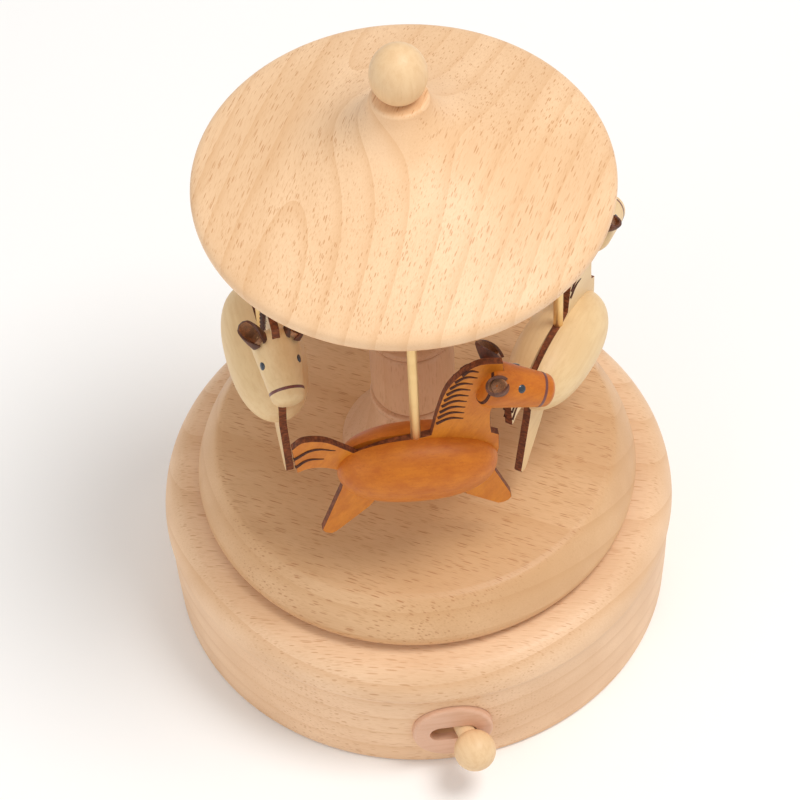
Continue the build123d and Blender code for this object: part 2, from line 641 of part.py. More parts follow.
def head_frame():
    return Pos(HEAD_START[0], 0, HEAD_START[1]) * Rot(0, -HEAD_PITCH, 0)


def make_head():
    """Turned cone, slotted over the core."""
    back = ThreePointArc((0.0, 2.4, 0), (0.45, 3.95, 0), (1.9, HEAD_R, 0))
    cheek = Line((1.9, HEAD_R, 0), (HEAD_L - 2.2, MUZZLE_R, 0))
    nose = ThreePointArc((HEAD_L - 2.2, MUZZLE_R, 0), (HEAD_L - 0.6, 2.55, 0), (HEAD_L, 0.9, 0))
    rest = Polyline((HEAD_L, 0.9, 0), (HEAD_L, 0, 0), (0, 0, 0), (0, 2.4, 0))
    cone = revolve(make_face([back, cheek, nose, rest]), Axis.X, 360)
    head = head_frame() * cone - core_solid()
    for side in (-1, 1):
        head -= ear_cone(side, EAR_BASE_R)
    return head


def head_radius(along):
    return HEAD_R + (MUZZLE_R - HEAD_R) * (along - 1.9) / (HEAD_L - 4.1)


def head_spot(along, up, side):
    """Frame on the head's surface, z outwards, x towards the nose."""
    return head_frame() * Pos(along, 0, 0) * Rot(side * (up - 90), 0, 0) * Pos(0, 0, head_radius(along))


def ear_cone(side, base_r):
    spot = head_spot(EAR_ALONG, EAR_UP, side) * Rot(0, -EAR_LEAN, 0)
    return spot * Pos(0, 0, EAR_L / 2 - 1.2) * Cone(base_r, EAR_TIP_R, EAR_L)


def make_ear(side):
    """Rolled leather ear: a tapering scoop open towards the nose."""
    spot = head_spot(EAR_ALONG, EAR_UP, side) * Rot(0, -EAR_LEAN, 0) * Pos(0, 0, EAR_L / 2 - 1.2)
    shell = Cone(EAR_BASE_R, EAR_TIP_R, EAR_L) - Cone(EAR_BASE_R - EAR_WALL, EAR_TIP_R - EAR_WALL, EAR_L)
    mouth = Pos(2.0, 0, 1.6) * Rot(0, -16, 0) * Box(3.2, 1.5, EAR_L)
    return spot * (shell - mouth)


def make_horse_rod(horse):
    return rod(ROD_R, -ROD_IN_BODY, rod_top(horse))


def build_horses():
    core = make_core()
    halves = {"left": make_body_half(1) - rod_hole(), "right": make_body_half(-1) - rod_hole()}
    head = make_head()
    ears = [make_ear(1), make_ear(-1)]
    for i, horse in enumerate(HORSES, start=1):
        place = horse_place(horse)
        save(f"horse_{i}_core", place * core)
        save(f"horse_{i}_body_left", place * halves["left"])
        save(f"horse_{i}_body_right", place * halves["right"])
        save(f"horse_{i}_head", place * head)
        save(f"horse_{i}_ears", *[place * e for e in ears])
        save(f"horse_{i}_rod", place * make_horse_rod(horse))


def build_base():
    save("base_body", make_base())
    save("bottom_cover", make_cover())
    save("cover_screws", *[wood_screw(x, y, COVER_RECESS, 9.0) for x, y in COVER_SCREWS])
    save("switch_plate", make_switch_plate())
    save("lever_pivot_pin", make_pivot_pin())


def build_lever():
    save("lever_dowel", make_lever_dowel())
    save("lever_knob", make_knob())
    save("stop_wire", make_stop_wire())


def build_movement():
    save("movement_bedplate", make_bedplate())
    save("bedplate_screws", *make_plate_screws())
    save("shaft_bushing", make_bushing())
    save("arbor_bracket_inner", make_arbor_bracket(BRACKET_A_X, GOV_Y - 1.8))
    save("arbor_bracket_outer", make_arbor_bracket(BRACKET_B_X, GOV_Y - 1.8))
    save("governor_bracket", make_governor_bracket())
    save("spring_housing", make_housing())
    save("housing_pillars", *make_pillars())
    save("mainspring", make_mainspring())
    save("comb", make_comb())
    save("comb_block", make_comb_block())
    save("comb_screws", *make_comb_screws())
    save("drum", make_drum())
    save("drum_arbor", make_drum_arbor())
    save("drum_ring_gear", make_ring_gear())
    save("governor_arbor", make_governor_arbor())
    save("worm_wheel", make_worm_wheel())
    save("worm_spindle", make_worm_spindle())
    save("air_brake_fan", make_fan())


def build_carousel():
    save("output_shaft", make_output_shaft())
    save("crown_wheel", make_crown_wheel())
    save("turntable", make_turntable())
    save("column", make_column())
    save("roof", make_roof())
    save("finial", make_finial())
    save("finial_peg", make_peg())


build_base()
build_lever()
build_movement()
build_carousel()
build_horses()
print(len(exported), "nodes")
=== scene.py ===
"""Wooden carousel music box: the looks, built round the fixed CAD frame.

Laid out as a Blender add-on. Every turned or fretted piece has its own operator,
and the sizes and colours that a maker would change are in the property groups.
"""

import math

import bmesh
import bpy
from mathutils import Matrix, Vector
from mathutils.geometry import tessellate_polygon


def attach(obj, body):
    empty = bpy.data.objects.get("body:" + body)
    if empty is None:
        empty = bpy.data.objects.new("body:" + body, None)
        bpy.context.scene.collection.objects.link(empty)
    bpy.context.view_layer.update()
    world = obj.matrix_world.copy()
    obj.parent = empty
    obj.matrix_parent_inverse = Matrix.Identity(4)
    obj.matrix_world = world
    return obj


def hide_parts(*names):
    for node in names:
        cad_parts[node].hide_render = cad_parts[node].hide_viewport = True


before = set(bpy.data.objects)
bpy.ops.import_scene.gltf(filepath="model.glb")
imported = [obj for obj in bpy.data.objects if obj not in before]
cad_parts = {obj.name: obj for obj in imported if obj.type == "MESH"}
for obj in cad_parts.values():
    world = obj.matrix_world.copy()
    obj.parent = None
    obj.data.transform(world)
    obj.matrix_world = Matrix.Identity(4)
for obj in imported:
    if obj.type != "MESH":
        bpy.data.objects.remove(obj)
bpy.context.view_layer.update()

bl_info = {
    "name": "Carousel Music Box",
    "version": (1, 0, 0),
    "blender": (4, 5, 0),
    "location": "View3D > Sidebar > Carousel",
    "description": "Turned beech carousel music box with four fretwork horses",
    "category": "Object",
}

MM = 0.001
WELD = 1e-6

# Lengths are in millimetres, angles in degrees, azimuths from the front.
FACETS, BROAD_FACETS, COLUMN_FACETS, SMALL_FACETS, KNOB_FACETS = 192, 256, 160, 96, 64
DOWEL_FACETS, ROD_FACETS, EYE_FACETS, EAR_FACETS = 48, 40, 32, 32
BASE_GRAIN, TABLE_GRAIN, ROOF_GRAIN = -8.0, -22.8, 69.0
TABLE_FOOT, TABLE_TOP, ROOF_SEAT, ROOF_TIP = 32.8, 44.7, 124.6, 149.4
ORBIT_R = 30.2
HORSES = (
    # azimuth, turn about the rod, height of the back line
    (0.0, 7.5, 83.6),
    (90.0, -28.0, 79.6),
    (180.0, -6.0, 81.2),
    (270.0, 12.3, 83.2),
)
CORE_T, LINE_SUNK, RIM_BEVEL = 1.6, 0.06, 0.09
MANE_LINES, MANE_START, MANE_STEP, MANE_INSET, MANE_LENGTH = 9, 4.0, 1.72, 0.45, 5.4
BODY_R, BODY_HALF_L, BODY_UP, BODY_PITCH, BODY_FULLNESS = 8.1, 16.3, -8.2, -6.0, 2.35
HEAD_X, HEAD_Z, HEAD_L, HEAD_PITCH = 13.3, 14.0, 15.4, -24.2
HEAD_R, MUZZLE_R, CHEEK_START, CHEEK_L = 4.85, 3.45, 2.4, 10.8
# The last pair places the dark ring round the back end of the stained head: painted contact shadow where the head
# meets the core.
NOSEBAND_AT, NOSEBAND_WIDTH, SHADE_RING_AT, SHADE_RING_WIDTH = 12.65, 0.6, 0.62, 0.4
EAR_ALONG, EAR_UP, EAR_LEAN, EAR_SUNK = 1.8, 43.0, 40.0, 0.9
EAR_L, EAR_R, EAR_WALL, EAR_SLIT = 5.2, 2.1, 0.5, 40.0
EYE_ALONG, EYE_PROUD, EYE_SUNK = 6.9, 0.34, 0.12
EYE_UP = (43.0, 28.0, 28.0, 28.0)
LEVER_AZ, LEVER_Z, LEVER_PIVOT_R, LEVER_SWING, LEVER_L = 5.1, 13.0, 45.1, 14.4, 15.7
PLATE_BACK, PLATE_R, PLATE_T, PLATE_ROUNDING, PLATE_SEAT_R = 8.5, 8.5, 1.8, 0.75, 8.65
DOWEL_R, DOWEL_TAIL = 2.0, 3.5
COVER_R, COVER_LOW, COVER_HIGH = 46.5, 0.8, 3.8
HOLE_RING_R, HOLE_R, DRILL_L = 20.0, 2.4, 12.0
ROD_IN_HORSE, ROD_IN_ROOF, ROD_CHAMFER = 6.0, 4.4, 0.15


# ---------------------------------------------------------------- settings

def length_prop(name, description, default):
    return bpy.props.FloatProperty(
        name=name, description=description, default=default, unit="LENGTH", subtype="DISTANCE")


def colour_prop(name, description, default):
    return bpy.props.FloatVectorProperty(
        name=name, description=description, default=default, subtype="COLOR", size=3, min=0.0, max=1.0)


class CarouselSizes(bpy.types.PropertyGroup):
    rod_radius: length_prop("Rod radius", "Radius of the brass rods", 0.001)
    knob_radius: length_prop("Knob radius", "Radius of the switch's ball knob", 0.0044)
    eye_radius: length_prop("Eye radius", "Radius of a painted eye", 0.00092)
    hair_line: length_prop("Burnt line width", "Width of the burnt hair lines", 0.00078)
    sound_holes: bpy.props.IntProperty(
        name="Sound holes", description="Holes in the bottom cover", default=8, min=3, max=16)


class CarouselColours(bpy.types.PropertyGroup):
    roof: colour_prop("Roof beech", "Palest turned beech", (0.88, 0.60, 0.365))
    base: colour_prop("Base beech", "Turned beech of the base", (0.82, 0.555, 0.350))
    table: colour_prop("Turntable beech", "Darker beech of the turntable", (0.69, 0.428, 0.228))
    column: colour_prop("Column beech", "Steamed beech of the column", (0.66, 0.40, 0.24))
    knob: colour_prop("Knob maple", "Pale wood of finial, knob and lever", (0.80, 0.56, 0.32))
    plate: colour_prop("Switch plate", "Pinkish pear wood of the switch plate", (0.72, 0.44, 0.30))
    cream: colour_prop("Natural horse", "Unstained turned wood", (0.78, 0.565, 0.305))
    brown: colour_prop("Stained horse", "Orange-brown stain", (0.56, 0.162, 0.012))
    burnt: colour_prop("Burnt edge", "Laser-burnt edge of the fretwork", (0.105, 0.030, 0.012))
    leather: colour_prop("Leather", "Outside of the rolled ears", (0.100, 0.034, 0.017))
    brass: colour_prop("Brass", "Satin brass of the rods", (0.86, 0.62, 0.30))


def sizes():
    return bpy.context.scene.carousel_sizes


# ---------------------------------------------------------------- node helpers

class Wiring:
    """Short-hand for adding nodes to one tree."""

    def feed(self, value, socket):
        """Wire an output into a socket, or set the socket to a plain value."""
        if isinstance(value, bpy.types.NodeSocket):
            self.tree.links.new(value, socket)
        else:
            socket.default_value = value

    def add(self, kind, inputs=None, **settings):
        node = self.tree.nodes.new(kind)
        for key, value in settings.items():
            setattr(node, key, value)
        for socket, value in (inputs or {}).items():
            self.feed(value, node.inputs[socket])
        return node

    def math(self, operation, *values):
        return self.add("ShaderNodeMath", dict(enumerate(values)), operation=operation).outputs[0]


class Recipe(Wiring):
    """One finish: a shader tree round the Principled shader."""

    def __init__(self, name):
        self.mat = bpy.data.materials.new(name)
        self.mat.use_nodes = True
        self.tree = self.mat.node_tree
        self.shader = self.tree.nodes["Principled BSDF"]

    def ramp(self, value, low, high):
        node = self.add("ShaderNodeMapRange", {"Value": value, "From Min": low, "From Max": high},
                        interpolation_type="SMOOTHSTEP")
        return node.outputs["Result"]

    def mix(self, factor, a, b):
        return self.add("ShaderNodeMix", {0: factor, 6: a, 7: b}, data_type="RGBA").outputs[2]

    def veil(self, tone, mask, amount, tint):
        """Lay a tint over a tone where the mask is, at most by the amount."""
        return self.mix(self.math("MULTIPLY", mask, amount), tone, tint)

    def mapped(self, vector, **sockets):
        return self.add("ShaderNodeMapping", {"Vector": vector, **sockets}, vector_type="POINT").outputs[0]

    def coords(self, turn=(0, 0, 0), move=(0, 0, 0)):
        """Object coordinates in millimetres, turned so that x runs along the grain."""
        place = self.add("ShaderNodeTexCoord").outputs["Object"]
        place = self.mapped(place, Rotation=[math.radians(a) for a in turn])
        return self.mapped(place, Scale=(1 / MM, 1 / MM, 1 / MM), Location=move)

    def noise(self, vector, stretch, detail=2.0, rough=0.5):
        inputs = {"Vector": self.mapped(vector, Scale=stretch), "Scale": 1.0, "Detail": detail, "Roughness": rough}
        return self.add("ShaderNodeTexNoise", inputs).outputs["Fac"]

    def cells(self, vector, stretch, feature="F1"):
        inputs = {"Vector": self.mapped(vector, Scale=stretch), "Scale": 1.0}
        return self.add("ShaderNodeTexVoronoi", inputs, feature=feature).outputs

    def surface(self, tone, rough, relief, strength, depth, **sockets):
        """Colour, roughness, bump and any other shader socket; ends the recipe."""
        bump = self.add("ShaderNodeBump", {"Strength": strength, "Distance": depth, "Height": relief}).outputs[0]
        values = {"Base Color": tone, "Roughness": rough, "Normal": bump}
        values.update((key.replace("_", " "), value) for key, value in sockets.items())
        for socket, value in values.items():
            self.feed(value, self.shader.inputs[socket])
        return self.mat


class Jig(Wiring):
    """One Geometry Nodes tree with named inputs, a finish among them."""

    def __init__(self, name, result, **inputs):
        self.tree = bpy.data.node_groups.new(name, "GeometryNodeTree")
        face = self.tree.interface
        for label, (kind, default) in {**inputs, "Finish": ("Material", None)}.items():
            socket = face.new_socket(label.replace("_", " "), in_out="INPUT", socket_type="NodeSocket" + kind)
            if default is not None:
                socket.default_value = default
        face.new_socket(result, in_out="OUTPUT", socket_type="NodeSocketGeometry")
        self.given = self.add("NodeGroupInput").outputs

    def close(self, geometry):
        """End the tree in realized geometry that wears its finish."""
        real = self.add("GeometryNodeRealizeInstances", {"Geometry": geometry}).outputs[0]
        coat = self.add("GeometryNodeSetMaterial", {"Geometry": real, "Material": self.given["Finish"]})
        self.add("NodeGroupOutput", {0: coat.outputs[0]})
        return self.tree


def tinted(colour, red=1.0, green=None, blue=None):
    """Colour with a gain on each channel, or one gain on all three."""
    green, blue = (red if gain is None else gain for gain in (green, blue))
    return (colour[0] * red, colour[1] * green, colour[2] * blue, 1.0)


# ---------------------------------------------------------------- finishes

def ray_flecks(n, at, stretch, reach_low, reach_span, soft):
    """Short dark dashes of the wood's rays: one lens in each stretched cell, some of them faint."""
    cell = n.cells(at, stretch)
    pick = n.add("ShaderNodeSeparateColor", {0: cell["Color"]}).outputs
    reach = n.math("MULTIPLY_ADD", pick[0], reach_span, reach_low)
    near = n.math("SUBTRACT", reach, cell["Distance"])
    return n.math("MULTIPLY", n.ramp(near, -soft / 2, soft), n.ramp(pick[1], 0.1, 1.0))


def beech(name, colour, turn, flecks, seed, rings=0.3, pith=(38, 55)):
    """Lacquered beech: growth rings, blotches, long fibres and two sizes of ray fleck."""
    n = Recipe(name)
    at = n.coords(turn, (seed, *pith))
    wander = n.noise(at, (0.012, 0.05, 0.05), detail=3.0)
    wave = {"Vector": n.mapped(at, Scale=(0.12, 1.0, 1.0)), "Scale": 0.055, "Distortion": 1.6, "Detail": 3.0,
            "Detail Scale": 0.12}
    ring = n.add("ShaderNodeTexWave", wave, wave_type="RINGS", rings_direction="X", wave_profile="SAW").outputs["Fac"]
    fibre = n.noise(at, (0.14, 3.4, 3.4), detail=5.0, rough=0.66)
    blotch = n.noise(at, (0.028, 0.085, 0.085))
    end = n.add("ShaderNodeAttribute", attribute_name="end_grain").outputs["Fac"]
    face = n.math("MULTIPLY_ADD", n.ramp(end, 0.30, 0.75), -0.88, 1.0)
    bold = n.math("MULTIPLY", ray_flecks(n, at, (0.27, 2.7, 1.6), 0.25, 0.15, 0.12), face)
    fine = n.math("MULTIPLY", ray_flecks(n, at, (0.42, 4.4, 2.8), 0.32, 0.16, 0.16), face)
    tone = n.mix(n.ramp(blotch, 0.30, 0.72), tinted(colour, 1.05), tinted(colour, 0.94, 0.89, 0.83))
    tone = n.veil(tone, n.ramp(ring, 0.55, 1.0), rings, tinted(colour, 0.84, 0.72, 0.58))
    tone = n.veil(tone, n.ramp(ring, 0.80, 1.0), rings * 0.42, tinted(colour, 0.80, 0.64, 0.48))
    tone = n.veil(tone, n.ramp(fibre, 0.35, 0.72), 0.34, tinted(colour, 0.84, 0.74, 0.62))
    tone = n.veil(tone, n.ramp(wander, 0.45, 0.7), 0.18, tinted(colour, 1.05, 1.02, 0.94))
    tone = n.veil(tone, fine, flecks * 0.5, tinted(colour, 0.74, 0.58, 0.42))
    tone = n.veil(tone, bold, flecks, tinted(colour, 0.64, 0.44, 0.28))
    relief = n.math("SUBTRACT", n.math("MULTIPLY", fibre, 0.6), n.math("MULTIPLY", bold, 0.5))
    return n.surface(tone, n.math("MULTIPLY_ADD", fibre, 0.14, 0.42), relief, 0.16, 0.00012,
                     Coat_Weight=0.10, Coat_Roughness=0.32, Specular_IOR_Level=0.42)


def fine_wood(name, colour, turn, seed, mottle=0.25):
    """Close-grained turned wood: soft streaks, mottling and tiny pores."""
    n = Recipe(name)
    at = n.coords(turn, (seed, seed * 0.7, 0))
    streaks = n.noise(at, (0.07, 1.1, 1.1), detail=4.0, rough=0.6)
    fibre = n.noise(at, (0.45, 7.0, 7.0), detail=3.0, rough=0.6)
    cloud = n.noise(at, (0.11, 0.16, 0.16), detail=3.0, rough=0.55)
    dots = n.ramp(n.cells(at, (0.55, 2.4, 2.4))["Distance"], 0.17, 0.06)
    tone = n.veil(tinted(colour, 1.04), n.ramp(cloud, 0.35, 0.7), mottle, tinted(colour, 0.80, 0.66, 0.52))
    tone = n.veil(tone, n.ramp(streaks, 0.40, 0.70), 0.3, tinted(colour, 0.84, 0.72, 0.60))
    tone = n.veil(tone, dots, 0.22, tinted(colour, 0.62, 0.48, 0.36))
    relief = n.math("SUBTRACT", fibre, n.math("MULTIPLY", dots, 0.5))
    return n.surface(tone, n.math("MULTIPLY_ADD", fibre, 0.16, 0.4), relief, 0.14, 0.0001,
                     Coat_Weight=0.08, Coat_Roughness=0.35, Specular_IOR_Level=0.40)


def stained_wood(name, colour, turn, seed):
    """Wiped stain on close-grained wood: mottled, darker in the pores, waxed to a sheen."""
    n = Recipe(name)
    at = n.coords(turn, (seed, seed * 0.6, 0))
    cloud = n.noise(at, (0.20, 0.34, 0.34), detail=5.0, rough=0.62)
    streaks = n.noise(at, (0.12, 1.6, 1.6), detail=4.0, rough=0.65)
    speck = n.noise(at, (1.4, 3.0, 3.0), detail=3.0, rough=0.7)
    tone = n.mix(n.ramp(cloud, 0.30, 0.70), tinted(colour, 1.10, 1.16, 1.15), tinted(colour, 0.90, 0.80, 0.80))
    tone = n.veil(tone, n.ramp(streaks, 0.42, 0.70), 0.28, tinted(colour, 0.74, 0.58, 0.58))
    tone = n.veil(tone, n.ramp(speck, 0.52, 0.75), 0.38, tinted(colour, 0.66, 0.48, 0.45))
    return n.surface(tone, n.math("MULTIPLY_ADD", speck, 0.20, 0.36), speck, 0.15, 0.0001,
                     Coat_Weight=0.06, Coat_Roughness=0.30, Specular_IOR_Level=0.30)


def burnt_edge(name, colour):
    """Char of the laser cut: nearly black brown with lighter scorched streaks."""
    n = Recipe(name)
    streak = n.noise(n.coords(), (0.9, 0.9, 2.2), detail=4.0, rough=0.65)
    tone = n.mix(n.ramp(streak, 0.35, 0.75), tinted(colour), tinted(colour, 3.0, 2.9, 2.3))
    return n.surface(tone, 0.62, streak, 0.35, 0.0001, Specular_IOR_Level=0.30)


def leather(name, colour, grain=5.0):
    """Thin smooth leather with a fine pebble and rubbed high spots."""
    n = Recipe(name)
    at = n.coords()
    pebble = n.ramp(n.cells(at, (grain,) * 3, "DISTANCE_TO_EDGE")["Distance"], 0.0, 0.22)
    rub = n.noise(at, (0.6,) * 3, detail=3.0)
    tone = n.mix(n.ramp(rub, 0.4, 0.7), tinted(colour), tinted(colour, 1.8, 1.6, 1.4))
    tone = n.veil(tone, n.math("SUBTRACT", 1.0, pebble), 0.5, tinted(colour, 0.5))
    return n.surface(tone, 0.55, pebble, 0.3, 0.00006)


def metal(name, colour, rough, brush=(0.3, 6.0, 6.0)):
    """Satin metal with fine drawn lines and slight tarnish."""
    n = Recipe(name)
    at = n.coords()
    lines = n.noise(at, brush, detail=3.0, rough=0.6)
    stain = n.noise(at, (0.22,) * 3, detail=3.0)
    tone = n.veil(tinted(colour), n.ramp(stain, 0.42, 0.72), 0.35, tinted(colour, 0.80, 0.72, 0.60))
    return n.surface(tone, n.math("MULTIPLY_ADD", lines, 0.18, rough), lines, 0.12, 0.00004, Metallic=1.0)


def paint(name, colour, rough=0.25):
    """Drop of enamel paint with a slightly uneven skin."""
    n = Recipe(name)
    skin = n.noise(n.coords(), (1.4,) * 3)
    tone = n.veil(tinted(colour), skin, 0.5, tinted(colour, 1.7))
    return n.surface(tone, rough, skin, 0.2, 0.00006, Coat_Weight=0.5)


def plain_paper(name, value):
    """Matt backdrop paper."""
    n = Recipe(name)
    tooth = n.noise(n.coords(), (2.0,) * 3)
    white = (value, value, value)
    tone = n.veil(tinted(white), tooth, 0.02, tinted(white, 0.97))
    return n.surface(tone, 0.9, tooth, 0.0, 0.0001, Specular_IOR_Level=0.1)


MATERIALS = {}


def finish(name):
    return MATERIALS[name]


# ---------------------------------------------------------------- geometry trees

def lathe_tree():
    """Turns a profile's points once round the vertical axis."""
    jig = Jig("Turned on the lathe", "Turned piece", Profile=("Geometry", None), Profile_points=("Int", 8),
              Facets=("Int", FACETS))
    facets = jig.given["Facets"]
    columns = jig.math("ADD", facets, 1.0)
    sheet = jig.add("GeometryNodeMeshGrid", {"Vertices X": jig.given["Profile points"], "Vertices Y": columns})
    number = jig.add("GeometryNodeInputIndex").outputs[0]
    row = jig.math("FLOOR", jig.math("DIVIDE", jig.math("ADD", number, 0.5), columns))
    column = jig.math("SUBTRACT", number, jig.math("MULTIPLY", row, columns))
    angle = jig.math("DIVIDE", jig.math("MULTIPLY", column, 2 * math.pi), facets)
    spot = jig.add("GeometryNodeInputPosition").outputs[0]
    pick = jig.add("GeometryNodeSampleIndex", data_type="FLOAT_VECTOR", domain="POINT")
    for socket, value in (("Geometry", jig.given["Profile"]), ("Value", spot), ("Index", row)):
        jig.feed(value, pick.inputs[socket])
    point = jig.add("ShaderNodeSeparateXYZ", {0: pick.outputs[0]}).outputs
    swept = jig.add("ShaderNodeCombineXYZ", {
        "X": jig.math("MULTIPLY", point["X"], jig.math("COSINE", angle)),
        "Y": jig.math("MULTIPLY", point["X"], jig.math("SINE", angle)), "Z": point["Y"]}).outputs[0]
    bent = jig.add("GeometryNodeSetPosition", {"Geometry": sheet.outputs["Mesh"], "Position": swept}).outputs[0]
    weld = jig.add("GeometryNodeMergeByDistance", {"Geometry": bent, "Distance": WELD})
    return jig.close(weld.outputs[0])


def ring_of_holes_tree():
    """Bores a ring of round holes through a board."""
    jig = Jig("Ring of holes", "Bored board", Board=("Geometry", None), Holes=("Int", 8),
              Ring_radius=("Float", HOLE_RING_R * MM), Hole_radius=("Float", HOLE_R * MM),
              Drill_length=("Float", DRILL_L * MM))
    ring = jig.add("GeometryNodeMeshCircle", {"Vertices": jig.given["Holes"], "Radius": jig.given["Ring radius"]})
    drill = jig.add("GeometryNodeMeshCylinder", {
        "Vertices": ROD_FACETS, "Radius": jig.given["Hole radius"], "Depth": jig.given["Drill length"]})
    drills = jig.add("GeometryNodeInstanceOnPoints", {
        "Points": ring.outputs["Mesh"], "Instance": drill.outputs["Mesh"]})
    bore = jig.add("GeometryNodeMeshBoolean", operation="DIFFERENCE", solver="EXACT")
    jig.feed(jig.given["Board"], bore.inputs["Mesh 1"])
    jig.feed(drills.outputs[0], bore.inputs["Mesh 2"])
    return jig.close(bore.outputs["Mesh"])


def hair_line_tree():
    """Runs a tapered round bead along curves."""
    jig = Jig("Burnt hair line", "Burnt lines", Lines=("Geometry", None), Width=("Float", 0.0004))
    along = jig.add("GeometryNodeSplineParameter").outputs["Factor"]
    taper = jig.add("ShaderNodeMapRange", {
        "Value": along, "From Min": 0.35, "From Max": 1.0, "To Min": 1.0, "To Max": 0.4}).outputs["Result"]
    bead = jig.add("GeometryNodeCurvePrimitiveCircle", {
        "Resolution": 8, "Radius": jig.math("MULTIPLY", jig.given["Width"], 0.5)})
    thick = jig.add("GeometryNodeSetCurveRadius", {"Curve": jig.given["Lines"], "Radius": taper})
    sweep = jig.add("GeometryNodeCurveToMesh", {
        "Curve": thick.outputs[0], "Profile Curve": bead.outputs["Curve"], "Fill Caps": True})
    if "Scale" in sweep.inputs:
        jig.feed(taper, sweep.inputs["Scale"])
    return jig.close(sweep.outputs["Mesh"])


def linked(name, data):
    """Object for a mesh or curve, in the scene at the origin."""
    obj = bpy.data.objects.new(name, data)
    bpy.context.scene.collection.objects.link(obj)
    return obj


def evaluated(host):
    """Mesh of a host object with its modifiers applied; the host goes."""
    graph = bpy.context.evaluated_depsgraph_get()
    graph.update()
    mesh = bpy.data.meshes.new_from_object(host.evaluated_get(graph))
    host.modifiers.clear()
    bpy.data.objects.remove(host)
    return mesh


def node_result(name, data, tree, **inputs):
    """Run a tree on a mesh or curve and return its result as a plain mesh."""
    host = linked(name, data)
    modifier = host.modifiers.new("Make", "NODES")
    modifier.node_group = tree
    keys = {item.name: item.identifier for item in tree.interface.items_tree
            if item.item_type == "SOCKET" and item.in_out == "INPUT"}
    for label, value in inputs.items():
        modifier[keys[label.replace("_", " ")]] = value
    return evaluated(host)


# ---------------------------------------------------------------- mesh helpers

def finished(name, mesh, body, coats, replaces=(), smooth=35.0):
    """Put a finished mesh in the scene and tie it to its body."""
    obj = linked(name, mesh)
    index = [p.material_index for p in mesh.polygons]
    mesh.materials.clear()
    for coat in coats:
        mesh.materials.append(finish(coat))
    mesh.polygons.foreach_set("material_index", index)
    mesh.polygons.foreach_set("use_smooth", [True] * len(mesh.polygons))
    mesh.set_sharp_from_angle(angle=math.radians(smooth))
    mesh.update()
    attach(obj, body)
    if replaces:
        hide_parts(*replaces)


def mark_end_grain(mesh, grain):
    """Store how squarely each point faces along the grain, so ray flecks fade on end grain."""
    along = spin("Z", grain) @ Vector((1, 0, 0))
    layer = mesh.attributes.new("end_grain", "FLOAT", "POINT")
    layer.data.foreach_set("value", [abs(v.normal.dot(along)) for v in mesh.vertices])


def mesh_from(bm, name):
    mesh = bpy.data.meshes.new(name)
    bmesh.ops.remove_doubles(bm, verts=bm.verts, dist=1e-7)
    bmesh.ops.recalc_face_normals(bm, faces=bm.faces)
    bm.to_mesh(mesh)
    bm.free()
    return mesh


def polar(radius, azimuth):
    """Point on the floor plan; azimuth from the front, counter-clockwise."""
    a = math.radians(azimuth)
    return radius * math.sin(a), -radius * math.cos(a)


def spin(axis, degrees):
    return Matrix.Rotation(math.radians(degrees), 4, axis)


def shift(x, y, z):
    return Matrix.Translation((x * MM, y * MM, z * MM))


def round_outline(radius, count):
    turns = [2 * math.pi * i / count for i in range(count)]
    return [(radius * math.cos(a), radius * math.sin(a)) for a in turns]


def ring(bm, outline, height):
    """Points of an outline at one height."""
    return [bm.verts.new((x * MM, y * MM, height * MM)) for x, y in outline]


def bridge(bm, rings, material=0):
    """Join each ring of points to the next with a strip of quads."""
    for low, high in zip(rings, rings[1:]):
        for i in range(len(low)):
            k = (i + 1) % len(low)
            bm.faces.new((low[i], low[k], high[k], high[i])).material_index = material


def prism(outline, z0, z1, place):
    """Closed prism over a plan outline."""
    bm = bmesh.new()
    low, high = ring(bm, outline, z0), ring(bm, outline, z1)
    bm.faces.new(low[::-1])
    bm.faces.new(high)
    bridge(bm, (low, high))
    bm.transform(place)
    return mesh_from(bm, "prism")


def cut(mesh, cutters, name):
    """Take cutter meshes out of a mesh."""
    host = linked(name, mesh)
    tools = [linked(f"{name}_cutter_{i}", tool) for i, tool in enumerate(cutters)]
    for tool in tools:
        step = host.modifiers.new("Cut", "BOOLEAN")
        step.operation, step.solver, step.object = "DIFFERENCE", "EXACT", tool
    mesh = evaluated(host)
    mesh.name = name
    for tool in tools:
        bpy.data.objects.remove(tool)
    return mesh


def arc(centre, radius, start, stop, steps=6, squash=1.0):
    """Points of an arc in the (radius, height) plane, angles in degrees."""
    turns = [math.radians(start + (stop - start) * i / steps) for i in range(steps + 1)]
    return [(centre[0] + radius * math.cos(a), centre[1] + radius * squash * math.sin(a)) for a in turns]


def flowing(points, steps=8):
    """Smooth run through the given (radius, height) points."""
    out = []
    run = [Vector(p) for p in points]
    gaps = [max((b - a).length, WELD) ** 0.5 for a, b in zip(run, run[1:])]
    for i, d in enumerate(gaps):
        p1, p2 = run[i], run[i + 1]
        start = stop = (p2 - p1) / d
        if i:
            p0, before = run[i - 1], gaps[i - 1]
            start = (p1 - p0) / before - (p2 - p0) / (before + d) + (p2 - p1) / d
        if i + 2 < len(run):
            p3, after = run[i + 2], gaps[i + 1]
            stop = (p2 - p1) / d - (p3 - p1) / (d + after) + (p3 - p2) / after
        for k in range(steps):
            t = k / steps
            h = (2 * t**3 - 3 * t**2 + 1, t**3 - 2 * t**2 + t, -2 * t**3 + 3 * t**2, t**3 - t**2)
            q = p1 * h[0] + start * d * h[1] + p2 * h[2] + stop * d * h[3]
            out.append((q.x, q.y))
    out.append(tuple(points[-1]))
    return out


